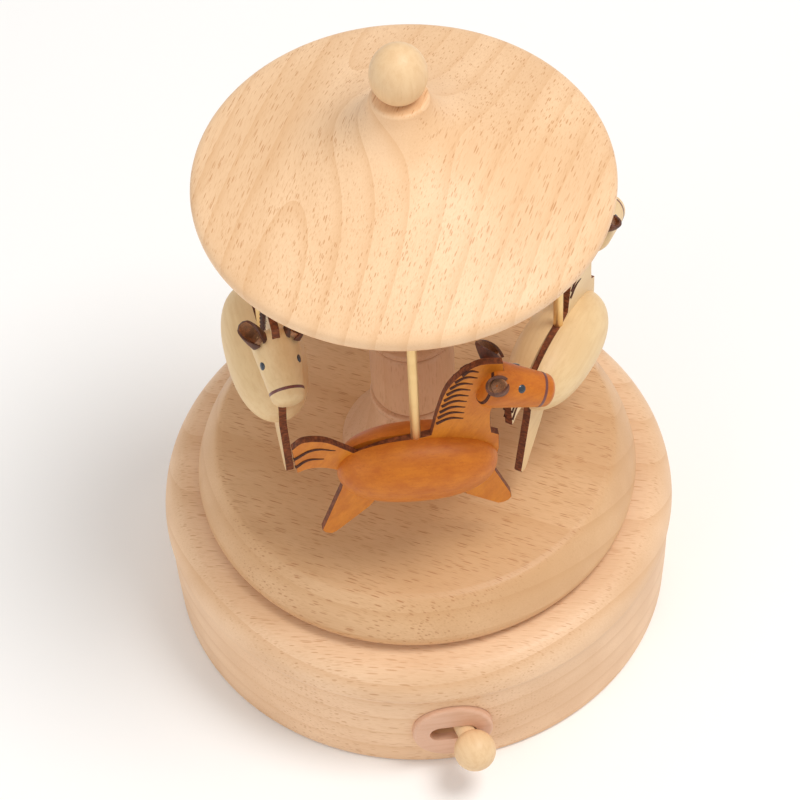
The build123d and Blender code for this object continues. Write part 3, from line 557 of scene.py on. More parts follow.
def turned(name, points, coat, facets, place=None):
    """Turn a profile of (radius, height) points; place moves it to the piece's axis."""
    tree = bpy.data.node_groups.get("Turned on the lathe") or lathe_tree()
    curve = bpy.data.curves.new(name + "_profile", "CURVE")
    curve.dimensions = "3D"
    spline = curve.splines.new("POLY")
    spline.points.add(len(points) - 1)
    for point, (r, z) in zip(spline.points, points):
        point.co = (r * MM, z * MM, 0, 1)
    mesh = node_result(name + "_profile", curve, tree, Profile_points=len(points), Facets=facets,
                       Finish=finish(coat))
    bm = bmesh.new()
    bm.from_mesh(mesh)
    bpy.data.meshes.remove(mesh)
    bmesh.ops.remove_doubles(bm, verts=bm.verts, dist=WELD)
    bmesh.ops.dissolve_degenerate(bm, edges=bm.edges, dist=1e-7)
    if place is not None:
        bm.transform(place)
    return mesh_from(bm, name)


# ---------------------------------------------------------------- profiles of the turned pieces

def base_profile():
    top = flowing([(49.6, 31.8), (51.4, 31.35), (53.2, 30.05), (54.5, 27.9), (55.0, 25.3)])
    lip = [(54.92, 24.7), (54.66, 24.15), (54.42, 23.75)]
    wall = flowing([(54.34, 23.3), (54.3, 18.0), (54.2, 10.0), (53.86, 2.2)])
    foot = arc((52.86, 1.0), 0.95, 15, -90)
    inside = [(47.1, 0.05), (46.75, 0.4), (46.7, 3.8), (43.5, 3.8), (43.5, 26.0), (3.55, 26.0)]
    return [(3.5, 31.8), (20.0, 31.8), (35.0, 31.8)] + top + lip + wall + foot + inside + [(3.5, 31.8)]


def turntable_profile():
    side = flowing([(41.2, TABLE_TOP), (42.5, 44.2), (44.0, 42.4), (46.0, 38.8), (46.98, 35.6)])
    edge = flowing([(46.98, 35.6), (46.8, 34.3), (46.25, 33.3), (45.4, TABLE_FOOT)], 5)[1:]
    top = [(0, TABLE_TOP), (15.0, TABLE_TOP), (30.0, TABLE_TOP)]
    return top + side + edge + [(30.0, TABLE_FOOT), (0, TABLE_FOOT)]


def column_profile():
    """Foot, bead, barrel, bead and groove, mirrored about the middle groove."""
    mid = 83.7
    half = [(15.5, TABLE_TOP), (15.5, 45.1)]
    half += flowing([(15.4, 45.4), (12.0, 49.2), (9.7, 54.0), (8.6, 58.8)], 10)
    half += [(8.25, 59.15), (8.2, 59.45)]
    half += arc((8.15, 60.2), 0.92, -52, 52, 8)
    half += [(7.95, 61.2), (7.9, 61.45)]
    half += flowing([(7.95, 61.6), (8.35, 61.8), (8.6, 62.4), (8.72, 66.0), (8.76, 70.4), (8.72, 75.0),
                     (8.6, 78.4), (8.35, 79.1), (7.95, 79.35)], 6)
    half += [(7.9, 79.5), (8.0, 79.95)]
    half += arc((8.2, 80.9), 0.92, -62, 62, 8)
    half += [(8.0, 81.95), (7.5, 82.2), (7.4, 82.5), (7.4, mid)]
    upper = [(r, 2 * mid - z) for r, z in half[::-1]][1:]
    return [(0, TABLE_TOP)] + half + upper + [(15.5, ROOF_SEAT), (0, ROOF_SEAT)]


def roof_profile():
    tip = [(0, ROOF_TIP), (2.5, ROOF_TIP), (4.9, ROOF_TIP)] + arc((4.95, 148.5), 0.9, 90, 12)
    crown = flowing([(5.86, 148.3), (6.6, 146.2), (9.6, 142.0), (14.0, 138.6), (20.0, 135.2), (27.0, 132.3),
                     (34.0, 129.75), (38.4, 128.15)], 9)
    rim = flowing([(38.4, 128.15), (40.2, 127.3), (41.15, 126.4), (41.4, 125.4), (41.1, 124.0), (40.3, 123.0),
                   (39.4, 122.62)], 6)[1:]
    under = [(37.8, 122.6), (37.5, 122.8), (37.5, ROOF_SEAT), (20.0, ROOF_SEAT), (0, ROOF_SEAT)]
    return tip + crown + rim + under


def finial_profile():
    mid, radius, half = 155.2, 5.6, 6.5
    low = math.degrees(math.asin((ROOF_TIP - mid) / half))
    return [(0, ROOF_TIP)] + arc((0, mid), radius, low, 90, 28, half / radius)


def knob_profile():
    radius = sizes().knob_radius / MM
    return [(0, -radius)] + arc((0, 0), radius, -89, 89, 32) + [(0, radius)]


def body_profile():
    """Full-shouldered egg along the horse's length."""
    steps, power = 40, 2 / BODY_FULLNESS
    out = [(0, -BODY_HALF_L)]
    for i in range(1, steps):
        t = math.pi * (1 - i / steps)
        c, s = math.cos(t), math.sin(t)
        out.append((BODY_R * s ** power, BODY_HALF_L * math.copysign(abs(c) ** power, c)))
    return out + [(0, BODY_HALF_L)]


def head_profile():
    back = flowing([(0, 0), (2.4, 0.0), (3.95, 0.5), (4.7, 1.4), (HEAD_R, CHEEK_START)], 7)
    cheek = [(cheek_radius(a), a) for a in (CHEEK_START + CHEEK_L * t for t in (0.2, 0.4, 0.6, 0.8, 1.0))]
    nose = flowing([(MUZZLE_R, HEAD_L - 2.2), (3.15, HEAD_L - 1.1), (2.3, HEAD_L - 0.35), (0.9, HEAD_L - 0.03),
                    (0, HEAD_L)], 7)[1:]
    return back + cheek + nose


# ---------------------------------------------------------------- base and switch

def lever_place():
    """Pivot of the switch lever: local -y points out of the wall."""
    x, y = polar(LEVER_PIVOT_R, LEVER_AZ)
    return shift(x, y, LEVER_Z) @ spin("Z", LEVER_AZ)


def plate_place():
    """Seat of the switch plate: local z points out of the wall."""
    return lever_place() @ shift(0, -PLATE_BACK, 0) @ spin("X", 90)


class CAROUSEL_OT_base(bpy.types.Operator):
    """Turn the base and cut the flat and the mouth for the switch"""

    bl_idname = "carousel.base"
    bl_label = "Turned base"

    def execute(self, context):
        mesh = turned("base_turning", base_profile(), "base beech", BROAD_FACETS)
        wedge = [(-3.3, 3.6), (-2.9, -1.0), (-5.2, -12.5), (5.2, -12.5), (2.9, -1.0), (3.3, 3.6)]
        mouth = prism(wedge, -2.3, 2.3, lever_place())
        flat = prism(round_outline(PLATE_SEAT_R, SMALL_FACETS), 0, 6, plate_place())
        mesh = cut(mesh, [mouth, flat], "base_turning")
        mark_end_grain(mesh, BASE_GRAIN)
        finished("base_turning", mesh, "base", ["base beech"], ["base_body"])
        return {"FINISHED"}


def slot_outline(length, width, steps=10):
    """Round-ended slot along x."""
    r, half = width / 2, length / 2 - width / 2
    right = arc((half, 0), r, -90, 90, steps)
    return right + [(-x, -y) for x, y in right]


def switch_plate():
    """Round plate with a softened front edge and a slot."""
    bm = bmesh.new()
    edge = arc((PLATE_R - PLATE_ROUNDING, PLATE_T - PLATE_ROUNDING), PLATE_ROUNDING, 0, 90, 5)
    rings = [ring(bm, round_outline(r, SMALL_FACETS), z) for r, z in [(PLATE_R, 0.0)] + edge]
    bridge(bm, rings)
    bm.faces.new(rings[0][::-1])
    bm.faces.new(rings[-1])
    slot = prism(slot_outline(10.0, 4.6), -1, PLATE_T + 1, Matrix())
    plate = cut(mesh_from(bm, "plate"), [slot], "plate")
    plate.transform(plate_place())
    return plate


class CAROUSEL_OT_switch(bpy.types.Operator):
    """Make the switch plate, its lever and the ball knob"""

    bl_idname = "carousel.switch"
    bl_label = "Switch lever"

    def execute(self, context):
        finished("switch_plate_turning", switch_plate(), "base", ["switch plate"], ["switch_plate"])
        swung = lever_place() @ spin("Z", LEVER_SWING)
        knob = turned("knob_turning", knob_profile(), "knob maple", KNOB_FACETS,
                      swung @ shift(0, -LEVER_L, 0) @ spin("X", 90))
        finished("knob_turning", knob, "switch_lever", ["knob maple"], ["lever_knob"])
        stick = [(0, -LEVER_L), (DOWEL_R - 0.05, -LEVER_L), (DOWEL_R, -LEVER_L + 0.2), (DOWEL_R, DOWEL_TAIL - 0.3),
                 (DOWEL_R - 0.25, DOWEL_TAIL - 0.05), (0, DOWEL_TAIL)]
        dowel = turned("lever_turning", stick, "lever maple", DOWEL_FACETS, swung @ spin("X", -90))
        finished("lever_turning", dowel, "switch_lever", ["lever maple"], ["lever_dowel"])
        return {"FINISHED"}


class CAROUSEL_OT_cover(bpy.types.Operator):
    """Bore the sound holes in the plywood bottom cover"""

    bl_idname = "carousel.cover"
    bl_label = "Bottom cover"

    def execute(self, context):
        rim = arc((COVER_R - 0.4, COVER_LOW + 0.4), 0.4, -90, 0, 4)
        profile = [(0, COVER_LOW)] + rim + [(COVER_R, COVER_HIGH - 0.4), (COVER_R - 0.4, COVER_HIGH), (0, COVER_HIGH)]
        board = turned("cover_board", profile, "plywood", FACETS)
        board = node_result("cover_board_blank", board, ring_of_holes_tree(), Holes=sizes().sound_holes,
                            Ring_radius=HOLE_RING_R * MM, Hole_radius=HOLE_R * MM, Drill_length=DRILL_L * MM,
                            Finish=finish("plywood"))
        finished("cover_board", board, "base", ["plywood"], ["bottom_cover"])
        return {"FINISHED"}


# ---------------------------------------------------------------- carousel

class CAROUSEL_OT_turntable(bpy.types.Operator):
    """Turn the rotating table"""

    bl_idname = "carousel.turntable"
    bl_label = "Turntable"

    def execute(self, context):
        mesh = turned("turntable_turning", turntable_profile(), "table beech", BROAD_FACETS)
        mark_end_grain(mesh, TABLE_GRAIN)
        finished("turntable_turning", mesh, "carousel", ["table beech"], ["turntable"])
        return {"FINISHED"}


class CAROUSEL_OT_column(bpy.types.Operator):
    """Turn the column with its flares, beads and barrels"""

    bl_idname = "carousel.column"
    bl_label = "Column"

    def execute(self, context):
        mesh = turned("column_turning", column_profile(), "column beech", COLUMN_FACETS)
        finished("column_turning", mesh, "carousel", ["column beech"], ["column"])
        return {"FINISHED"}


class CAROUSEL_OT_roof(bpy.types.Operator):
    """Turn the hollow-sided roof and its finial"""

    bl_idname = "carousel.roof"
    bl_label = "Roof and finial"

    def execute(self, context):
        mesh = turned("roof_turning", roof_profile(), "roof beech", BROAD_FACETS)
        mark_end_grain(mesh, ROOF_GRAIN)
        finished("roof_turning", mesh, "carousel", ["roof beech"], ["roof"])
        ball = turned("finial_turning", finial_profile(), "finial maple", SMALL_FACETS)
        finished("finial_turning", ball, "carousel", ["finial maple"], ["finial"])
        return {"FINISHED"}


# ---------------------------------------------------------------- horses

def horse_place(index):
    azimuth, turn, back = HORSES[index]
    x, y = polar(ORBIT_R, azimuth)
    return shift(x, y, back) @ spin("Z", azimuth + turn)


def horse_piece(index, part, mesh, coats, smooth, stands_for=""):
    """Set one horse's piece on its rod and finish it."""
    mesh.transform(horse_place(index))
    nodes = [f"horse_{index + 1}_{stands_for}"] if stands_for else ()
    finished(f"horse_{index + 1}_{part}", mesh, "carousel", coats, nodes, smooth)


def horse_coat(index, kind):
    """Finish key and slot name of a horse's wood or ply: the first is stained, the others natural."""
    return (f"stained {kind}", f"stained_{kind}") if index == 0 else (f"cream {kind} {index}", f"cream_{kind}")


def horse_outline():
    """Fretwork outline, nose to +x, zero at the rod on the back line."""
    tail = flowing([(-24.8, 2.4), (-22.6, 4.2), (-18.4, 3.5), (-14.6, 0.4), (-11.7, -2.4)], 6)
    back = flowing([(-11.7, -2.4), (-6.0, -0.6), (0.0, 0.0), (3.0, 0.5)], 4)
    crest = flowing([(3.0, 0.5), (4.4, 7.3), (6.6, 14.4), (9.4, 18.0), (13.0, 20.2), (17.6, 19.7)])
    face = [(17.9, 16.2), (19.6, 13.0), (18.2, 8.6)]
    throat = flowing([(18.2, 8.6), (15.4, 6.4), (14.9, 2.0), (15.1, -1.6)], 5)[1:]
    chest = [(16.6, -2.6), (16.6, -7.0), (15.4, -13.5)]
    fore = [(18.9, -22.8), (19.0, -24.2), (18.4, -25.1), (17.4, -25.6), (16.3, -25.7), (9.8, -20.9), (6.5, -15.0)]
    belly = [(0.0, -14.8), (-6.4, -14.6)]
    hind = [(-10.2, -20.0), (-16.2, -25.8), (-17.2, -26.7), (-18.2, -27.2), (-19.6, -26.6), (-20.1, -25.6),
            (-15.6, -12.6)]
    rump = [(-14.6, -8.0), (-15.9, -6.4)]
    under = flowing([(-15.9, -6.4), (-18.4, -5.0), (-21.5, -4.4), (-24.1, -5.2)], 6)[1:]
    return tail + back[1:] + crest[1:] + face + throat + chest + fore + belly + hind + rump + under


def inset(outline, depth):
    """Outline moved inwards by a small depth, point by point."""
    out = []
    for i, point in enumerate(outline):
        a, b, c = Vector(outline[i - 1]), Vector(point), Vector(outline[(i + 1) % len(outline)])
        d1, d2 = (b - a).normalized(), (c - b).normalized()
        n1, n2 = Vector((d1.y, -d1.x)), Vector((d2.y, -d2.x))
        away = n1 + n2
        away = away.normalized() if away.length > WELD else n1
        out.append(b + away * depth)
    return out


def fret_plate():
    """Plywood cut-out: faces get material 0, the burnt rim and its tiny chamfer material 1."""
    outline = horse_outline()
    inner, half = inset(outline, RIM_BEVEL), CORE_T / 2
    bm = bmesh.new()
    rims = [[bm.verts.new((p[0] * MM, y * MM, p[1] * MM)) for p in run]
            for run, y in ((inner, -half), (outline, RIM_BEVEL - half), (outline, half - RIM_BEVEL), (inner, half))]
    bridge(bm, rims, material=1)
    for tri in tessellate_polygon([[Vector((p[0], p[1], 0)) for p in inner]]):
        for rim in (rims[0], rims[3]):
            bm.faces.new([rim[i] for i in tri]).material_index = 0
    return mesh_from(bm, "fret")


def hair_lines():
    """Burnt lines of mane and tail as (start, bend, end) in the horse's frame."""
    crest = flowing([(3.0, 0.5), (4.4, 7.3), (6.6, 14.4), (9.4, 18.0), (13.0, 20.2)], 12)
    lines = []
    for i in range(MANE_LINES):
        height = MANE_START + MANE_STEP * i
        x = min(crest, key=lambda p: abs(p[1] - height))[0] + MANE_INSET
        length = MANE_LENGTH - 0.14 * i - (1.1 if i == MANE_LINES - 1 else 0)
        lines.append(((x, height), (x + length * 0.5, height + 1.05), (x + length, height + 0.35)))
    lines.append(((-24.5, -0.6), (-20.5, 1.5), (-16.2, 0.2)))
    lines.append(((-24.3, -3.2), (-21.8, -1.5), (-18.6, -1.9)))
    return lines


def burnt_lines():
    """Both faces' hair lines as one mesh."""
    curve = bpy.data.curves.new("lines", "CURVE")
    curve.dimensions = "3D"
    for side in (-1, 1):
        for line in hair_lines():
            spline = curve.splines.new("BEZIER")
            spline.bezier_points.add(len(line) - 1)
            for point, (x, z) in zip(spline.bezier_points, line):
                point.co = (x * MM, side * (CORE_T / 2 - LINE_SUNK) * MM, z * MM)
                point.handle_left_type = point.handle_right_type = "AUTO"
            spline.resolution_u = 8
    tree = bpy.data.node_groups.get("Burnt hair line") or hair_line_tree()
    return node_result("lines", curve, tree, Width=sizes().hair_line, Finish=finish("char and shade line"))


class CAROUSEL_OT_horse_cores(bpy.types.Operator):
    """Fret the plywood cores and burn their edges and hair lines"""

    bl_idname = "carousel.horse_cores"
    bl_label = "Horse cores"

    def execute(self, context):
        for i in range(len(HORSES)):
            coat, slot = horse_coat(i, "ply")
            horse_piece(i, "fretwork", fret_plate(), [coat, "burnt edge"], 30, "core")
            horse_piece(i, "hair_lines", burnt_lines(), ["char and shade line"], 60)
        return {"FINISHED"}


def flank(side):
    """Half of the turned body, cut flat where it meets the core."""
    place = shift(0, 0, BODY_UP) @ spin("Y", -BODY_PITCH) @ spin("Y", 90)
    bm = bmesh.new()
    bm.from_mesh(turned("egg", body_profile(), "stained wood", SMALL_FACETS, place))
    cuts = bmesh.ops.bisect_plane(
        bm, geom=bm.verts[:] + bm.edges[:] + bm.faces[:], plane_co=(0, side * CORE_T / 2 * MM, 0),
        plane_no=(0, side, 0), clear_inner=True)
    rim = [e for e in cuts["geom_cut"] if isinstance(e, bmesh.types.BMEdge)]
    bmesh.ops.triangle_fill(bm, use_beauty=True, edges=rim)
    return mesh_from(bm, "flank")


class CAROUSEL_OT_horse_bodies(bpy.types.Operator):
    """Turn the egg-shaped bodies and split them over the cores"""

    bl_idname = "carousel.horse_bodies"
    bl_label = "Horse bodies"

    def execute(self, context):
        for i in range(len(HORSES)):
            coat, slot = horse_coat(i, "wood")
            for side, word in ((1, "left"), (-1, "right")):
                horse_piece(i, f"flank_{word}", flank(side), [coat], 50, f"body_{word}")
        return {"FINISHED"}


def head_start():
    """Back end of the head's axis: local x along the muzzle."""
    return shift(HEAD_X, 0, HEAD_Z) @ spin("Y", -HEAD_PITCH)


def head_place():
    """Head's axis: local z along the muzzle, x up."""
    return head_start() @ spin("Y", 90)


def cheek_radius(along):
    return HEAD_R + (MUZZLE_R - HEAD_R) * (along - CHEEK_START) / CHEEK_L


def head_spot(along, up, side):
    """Frame on the head's skin: z outwards, x towards the nose."""
    return head_start() @ shift(along, 0, 0) @ spin("X", side * (up - 90)) @ shift(0, 0, cheek_radius(along))


def skin_radius(along):
    """Radius of the turned head at a distance from its back end."""
    run = head_profile()
    for (r0, a0), (r1, a1) in zip(run, run[1:]):
        if a0 <= along <= a1 and a1 > a0:
            return r0 + (r1 - r0) * (along - a0) / (a1 - a0)
    return cheek_radius(along)


def painted_band(at, width, lift):
    """Painted line round the head, a hair proud of the wood."""
    rows = 5
    run = [at + (j / (rows - 1) - 0.5) * width for j in range(rows)]
    skin = [(skin_radius(a) + lift * (0.4 + 0.6 * math.cos(math.pi * (a - at) / width)), a) for a in run]
    skin += [(skin_radius(a) - 0.15, a) for a in (run[-1], run[0])]
    bm = bmesh.new()
    rings = [ring(bm, round_outline(r, SMALL_FACETS), a) for r, a in skin]
    bridge(bm, rings + rings[:1])
    bm.transform(head_place())
    return mesh_from(bm, "band")


def painted_eyes(up):
    """Two shallow drops of enamel."""
    rows, radius, cheek = 6, sizes().eye_radius / MM, cheek_radius(EYE_ALONG)
    bm = bmesh.new()
    for side in (-1, 1):
        place = head_spot(EYE_ALONG, up, side)
        rings = []
        for j in range(rows):
            a = math.radians(90 * j / rows)
            r, z = radius * math.cos(a), EYE_PROUD * math.sin(a) - EYE_SUNK
            drops = [(x, y, cheek - math.sqrt(cheek ** 2 - y * y)) for x, y in round_outline(r, EYE_FACETS)]
            rings.append([bm.verts.new(place @ Vector((x * MM, y * MM, (z - drop) * MM))) for x, y, drop in drops])
        bridge(bm, rings)
        bm.faces.new(rings[-1])
        bm.faces.new(rings[0][::-1])
    return mesh_from(bm, "eyes")


def ear_place(side):
    """Axis of one ear: local z runs up the ear, x towards the nose."""
    return head_spot(EAR_ALONG, EAR_UP, side) @ spin("Y", -EAR_LEAN) @ shift(0, 0, -EAR_SUNK)


def ear_skin(bm, side, rows, inset_by):
    """Rows of points of an ear's outer or inner skin, from the foot to the tip."""
    place, slit = ear_place(side), math.radians(-EAR_SLIT * side)
    skin = []
    for j in range(rows + 1):
        u = j / rows
        spread = math.radians(166 * (1 - u) ** 0.5 + 20 * u)
        r = EAR_R + 0.12 * math.sin(math.pi * u) - 0.5 * u * u - inset_by
        row = []
        for k in range(EAR_FACETS + 1):
            w = 2 * k / EAR_FACETS - 1
            a = math.pi + slit + spread * w
            reach = r * (1.0 - 0.18 * max(w, 0) ** 2 * (1 - u)) * MM
            row.append(bm.verts.new(place @ Vector((reach * math.cos(a), reach * math.sin(a), EAR_L * u * MM))))
        skin.append(row)
    return skin


def ear_sheet(side):
    """One leather ear: a leaf rolled at its foot, with its slit turned to the nose and the mane."""
    rows, count = 16, EAR_FACETS
    bm = bmesh.new()
    outer, inner = (ear_skin(bm, side, rows, inset_by) for inset_by in (0.0, EAR_WALL))
    for j in range(rows):
        for k in range(count):
            bm.faces.new((outer[j][k], outer[j][k + 1], outer[j + 1][k + 1], outer[j + 1][k]))
            lining = bm.faces.new((inner[j][k], inner[j + 1][k], inner[j + 1][k + 1], inner[j][k + 1]))
            lining.material_index = 1
    for j in range(rows):
        for k in (0, count):
            bm.faces.new((outer[j][k], outer[j + 1][k], inner[j + 1][k], inner[j][k]))
    for k in range(count):
        for j in (0, rows):
            bm.faces.new((outer[j][k], outer[j][k + 1], inner[j][k + 1], inner[j][k]))
    return mesh_from(bm, "ear")


def ear_plug(side):
    """Rolled leather core that closes the bottom of an ear."""
    low, high, r = 0.4, 1.35, EAR_R - 0.55
    dome = [(0, low), (r, low), (r, high), (r - 0.3, high - 0.1), (0.45, high - 0.4), (0, high - 0.45)]
    return turned("ear_plug", dome, "ear lining", EAR_FACETS, ear_place(side))


def both_ears(name):
    bm = bmesh.new()
    for side in (-1, 1):
        bm.from_mesh(ear_sheet(side))
        first = len(bm.faces)
        bm.from_mesh(ear_plug(side))
        bm.faces.ensure_lookup_table()
        for face in bm.faces[first:]:
            face.material_index = 1
    ears = bpy.data.meshes.new(name)
    bm.to_mesh(ears)
    bm.free()
    return ears


class CAROUSEL_OT_horse_heads(bpy.types.Operator):
    """Turn the heads and add ears, eyes and nosebands"""

    bl_idname = "carousel.horse_heads"
    bl_label = "Horse heads"

    def execute(self, context):
        for i in range(len(HORSES)):
            coat, slot = horse_coat(i, "wood")
            head = turned("head", head_profile(), coat, SMALL_FACETS, head_place())
            horse_piece(i, "head_turning", head, [coat], 60, "head")
            band = painted_band(NOSEBAND_AT, NOSEBAND_WIDTH, 0.05)
            horse_piece(i, "noseband", band, ["noseband paint"], 60)
            # Stained horse only: a dark ring round the back end of the head, painted contact shadow where the turned
            # head meets the fretwork core.
            if i == 0:
                line = painted_band(SHADE_RING_AT, SHADE_RING_WIDTH, 0.04)
                horse_piece(i, "contact_shade_ring", line, ["char and shade line"], 60)
            horse_piece(i, "eyes", painted_eyes(EYE_UP[i]), ["eye enamel"], 60)
            ears = both_ears("leather_ears")
            horse_piece(i, "leather_ears", ears, ["ear leather", "ear lining"], 50, "ears")
        return {"FINISHED"}


class CAROUSEL_OT_rods(bpy.types.Operator):
    """Cut the brass rods from roof to horse"""

    bl_idname = "carousel.rods"
    bl_label = "Brass rods"

    def execute(self, context):
        r, high, soft = sizes().rod_radius / MM, ROOF_SEAT + ROD_IN_ROOF, ROD_CHAMFER
        for i, (azimuth, _, back) in enumerate(HORSES):
            name, low = f"horse_{i + 1}_brass_rod", back - ROD_IN_HORSE
            profile = [(0, low), (r - soft, low), (r, low + soft), (r, back), (r, high - soft), (r - soft, high),
                       (0, high)]
            rod = turned(name, profile, "brass rod", ROD_FACETS, shift(*polar(ORBIT_R, azimuth), 0))
            finished(name, rod, "carousel", ["brass rod"], [f"horse_{i + 1}_rod"], 40)
        return {"FINISHED"}


# ---------------------------------------------------------------- finishes and carried-over pieces

class CAROUSEL_OT_finishes(bpy.types.Operator):
    """Mix every wood, leather, paint and metal finish"""

    bl_idname = "carousel.finishes"
    bl_label = "Finishes"

    def execute(self, context):
        c = context.scene.carousel_colours
        stained_ply = tinted(c.brown, 1.10, 1.22, 1.25)
        MATERIALS.update({
            "base beech": beech("Base beech", c.base, (0, 0, -BASE_GRAIN), 0.62, 11, rings=0.35),
            "table beech": beech("Turntable beech", c.table, (0, 0, -TABLE_GRAIN), 0.82, 47),
            "roof beech": beech("Roof beech", c.roof, (0, 0, -ROOF_GRAIN), 0.78, 5, rings=0.38, pith=(-14, -128)),
            "column beech": beech("Column beech", c.column, (0, 90, 0), 0.45, 71),
            "finial maple": fine_wood("Finial maple", c.knob, (0, 90, 0), 3),
            "knob maple": fine_wood("Knob maple", c.knob, (0, 0, 70), 9),
            "lever maple": fine_wood("Lever maple", c.knob, (0, 0, -110), 17),
            "switch plate": fine_wood("Switch plate pear", c.plate, (0, 0, -5), 23),
            "plywood": beech("Birch plywood", (0.72, 0.52, 0.31), (0, 0, 30), 0.2, 29),
            "stained wood": stained_wood("Stained turned wood", c.brown, (0, -6, -7.5), 13),
            "stained ply": stained_wood("Stained plywood", stained_ply, (0, 60, -7.5), 31),
            "burnt edge": burnt_edge("Burnt plywood edge", c.burnt),
            # This char colour also paints the contact shadow ring at the back of the stained head.
            "char and shade line": burnt_edge("Burnt hair line", tinted(c.burnt, 0.42, 0.42, 0.5)),
            "ear leather": leather("Dark ear leather", c.leather),
            "ear lining": leather("Ear flesh side", (0.34, 0.17, 0.085), grain=3.0),
            "brass rod": metal("Satin brass rod", c.brass, 0.36, (5.0, 5.0, 0.3)),
            "eye enamel": paint("Eye enamel", (0.018, 0.026, 0.040)),
            "noseband paint": paint("Noseband paint", (0.13, 0.030, 0.022), rough=0.5),
            "movement brass": metal("Stamped brass", (0.72, 0.50, 0.20), 0.3),
            "zinc": metal("Cast zinc", (0.55, 0.56, 0.58), 0.42, (1.5, 1.5, 1.5)),
            "steel": metal("Turned steel", (0.62, 0.62, 0.64), 0.25),
            "blue steel": metal("Blued spring steel", (0.10, 0.13, 0.22), 0.25),
            "peg": fine_wood("Peg maple", c.knob, (0, 90, 0), 53),
        })
        for i, (azimuth, turn, _) in list(enumerate(HORSES))[1:]:
            grain = (0, 0, -(azimuth + turn))
            MATERIALS[f"cream wood {i}"] = fine_wood(f"Natural turned wood {i}", c.cream, grain, 19 + i * 7, 0.22)
            MATERIALS[f"cream ply {i}"] = fine_wood(f"Natural plywood {i}", tinted(c.cream, 1.0, 1.0, 1.02), grain,
                                                    41 + i * 5)
        return {"FINISHED"}


CARRIED_OVER = {
    "movement brass": ("lever_pivot_pin", "shaft_bushing", "arbor_bracket_inner", "arbor_bracket_outer",
                       "governor_bracket", "drum", "crown_wheel", "drum_ring_gear", "worm_wheel", "air_brake_fan",
                       "housing_pillars"),
    "zinc": ("movement_bedplate", "comb_block", "spring_housing"),
    "steel": ("cover_screws", "bedplate_screws", "comb", "comb_screws", "stop_wire", "output_shaft", "drum_arbor",
              "governor_arbor", "worm_spindle"),
    "blue steel": ("mainspring",),
    "peg": ("finial_peg",),
}


class CAROUSEL_OT_movement(bpy.types.Operator):
    """Give the music movement and the small hardware their finishes"""

    bl_idname = "carousel.movement"
    bl_label = "Movement finishes"

    def execute(self, context):
        for name, nodes in CARRIED_OVER.items():
            for node in nodes:
                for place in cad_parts[node].material_slots:
                    place.material = finish(name)
        return {"FINISHED"}


# ---------------------------------------------------------------- stage

FLOOR_HALF, PAPER_WHITE = 3.0, 0.97
STUDIO_WHITE, STUDIO_STRENGTH = (1.0, 0.985, 0.965, 1), 0.62
SOFTBOXES = (
    # name, place, height it looks at, size, power, tint
    ("Key softbox", (0.38, -0.10, 1.02), 0.06, 0.46, 5.7, (1.0, 0.98, 0.95)),
    ("Left fill", (-0.62, -0.62, 0.50), 0.05, 0.8, 1.5, (1, 1, 1)),
)
CAMERA_AT, CAMERA_LENS = (0, -0.42665, 0.60237), 148.5
CAMERA_YAW, CAMERA_PITCH, CAMERA_ROLL = -0.00685, 0.90721, -0.05346


def soft_light(name, place, target_height, size, power, tint):
    data = bpy.data.lights.new(name, "AREA")
    data.shape, data.size, data.energy, data.color = "DISK", size, power, tint
    light = linked(name, data)
    light.location = place
    aim = Vector((0, 0, target_height)) - Vector(place)
    light.rotation_euler = aim.to_track_quat("-Z", "Y").to_euler()


def camera_turn():
    """Turn that aims the camera by its yaw, pitch and roll, in radians."""
    yaw, pitch, roll = CAMERA_YAW, CAMERA_PITCH, CAMERA_ROLL
    ahead = Vector((math.sin(yaw) * math.cos(pitch), math.cos(yaw) * math.cos(pitch), -math.sin(pitch)))
    right = Vector((math.cos(yaw), -math.sin(yaw), 0))
    up = right.cross(ahead)
    side = right * math.cos(roll) + up * math.sin(roll)
    top = -right * math.sin(roll) + up * math.cos(roll)
    return Matrix((side, top, -ahead)).transposed().to_4x4()


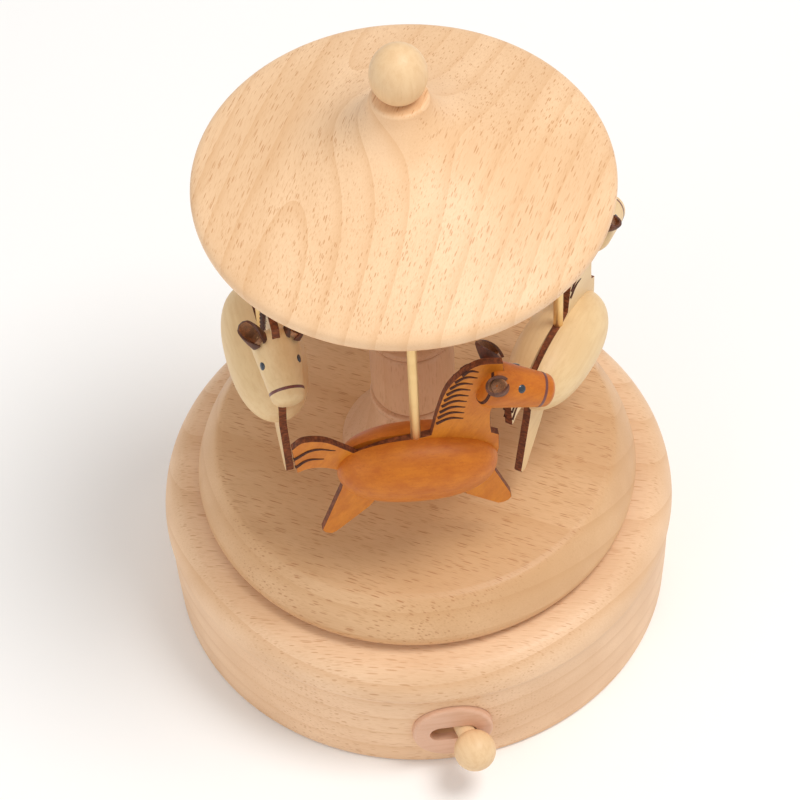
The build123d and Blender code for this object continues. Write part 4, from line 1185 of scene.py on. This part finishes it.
class CAROUSEL_OT_stage(bpy.types.Operator):
    """Set the paper floor, the soft lights and the camera"""

    bl_idname = "carousel.stage"
    bl_label = "Stage"

    def execute(self, context):
        scene = context.scene
        bm = bmesh.new()
        bmesh.ops.create_grid(bm, x_segments=2, y_segments=2, size=FLOOR_HALF)
        paper = bpy.data.meshes.new("paper_floor")
        bm.to_mesh(paper)
        bm.free()
        paper.materials.append(plain_paper("White paper", PAPER_WHITE))
        floor = linked("paper_floor", paper)

        scene.world = bpy.data.worlds.new("Soft studio")
        scene.world.use_nodes = True
        sky = scene.world.node_tree.nodes["Background"].inputs
        sky["Color"].default_value = STUDIO_WHITE
        sky["Strength"].default_value = STUDIO_STRENGTH
        for box in SOFTBOXES:
            soft_light(*box)

        lens = bpy.data.cameras.new("View")
        lens.sensor_width, lens.lens, lens.clip_start = 36.0, CAMERA_LENS, 0.01
        scene.camera = linked("View", lens)
        scene.camera.matrix_world = Matrix.Translation(CAMERA_AT) @ camera_turn()
        scene.view_settings.view_transform = "Standard"
        scene.view_settings.look = "None"
        return {"FINISHED"}


class CAROUSEL_PT_panel(bpy.types.Panel):
    """Sidebar list of the carousel's making steps"""

    bl_idname = "CAROUSEL_PT_panel"
    bl_label = "Carousel Music Box"
    bl_space_type = "VIEW_3D"
    bl_region_type = "UI"
    bl_category = "Carousel"

    def draw(self, context):
        layout = self.layout
        for group in (context.scene.carousel_sizes, context.scene.carousel_colours):
            box = layout.box()
            for key in group.__annotations__:
                box.prop(group, key)
        for step in STEPS:
            layout.operator(step.bl_idname)


STEPS = (
    CAROUSEL_OT_finishes,
    CAROUSEL_OT_base,
    CAROUSEL_OT_switch,
    CAROUSEL_OT_cover,
    CAROUSEL_OT_turntable,
    CAROUSEL_OT_column,
    CAROUSEL_OT_roof,
    CAROUSEL_OT_horse_cores,
    CAROUSEL_OT_horse_bodies,
    CAROUSEL_OT_horse_heads,
    CAROUSEL_OT_rods,
    CAROUSEL_OT_movement,
    CAROUSEL_OT_stage,
)
CLASSES = (CarouselSizes, CarouselColours) + STEPS + (CAROUSEL_PT_panel,)


def register():
    for item in CLASSES:
        bpy.utils.register_class(item)
    bpy.types.Scene.carousel_sizes = bpy.props.PointerProperty(type=CarouselSizes)
    bpy.types.Scene.carousel_colours = bpy.props.PointerProperty(type=CarouselColours)


def unregister():
    del bpy.types.Scene.carousel_colours
    del bpy.types.Scene.carousel_sizes
    for item in reversed(CLASSES):
        bpy.utils.unregister_class(item)


def main():
    register()
    for step in STEPS:
        group, _, name = step.bl_idname.partition(".")
        getattr(getattr(bpy.ops, group), name)()


if __name__ == "__main__":
    main()
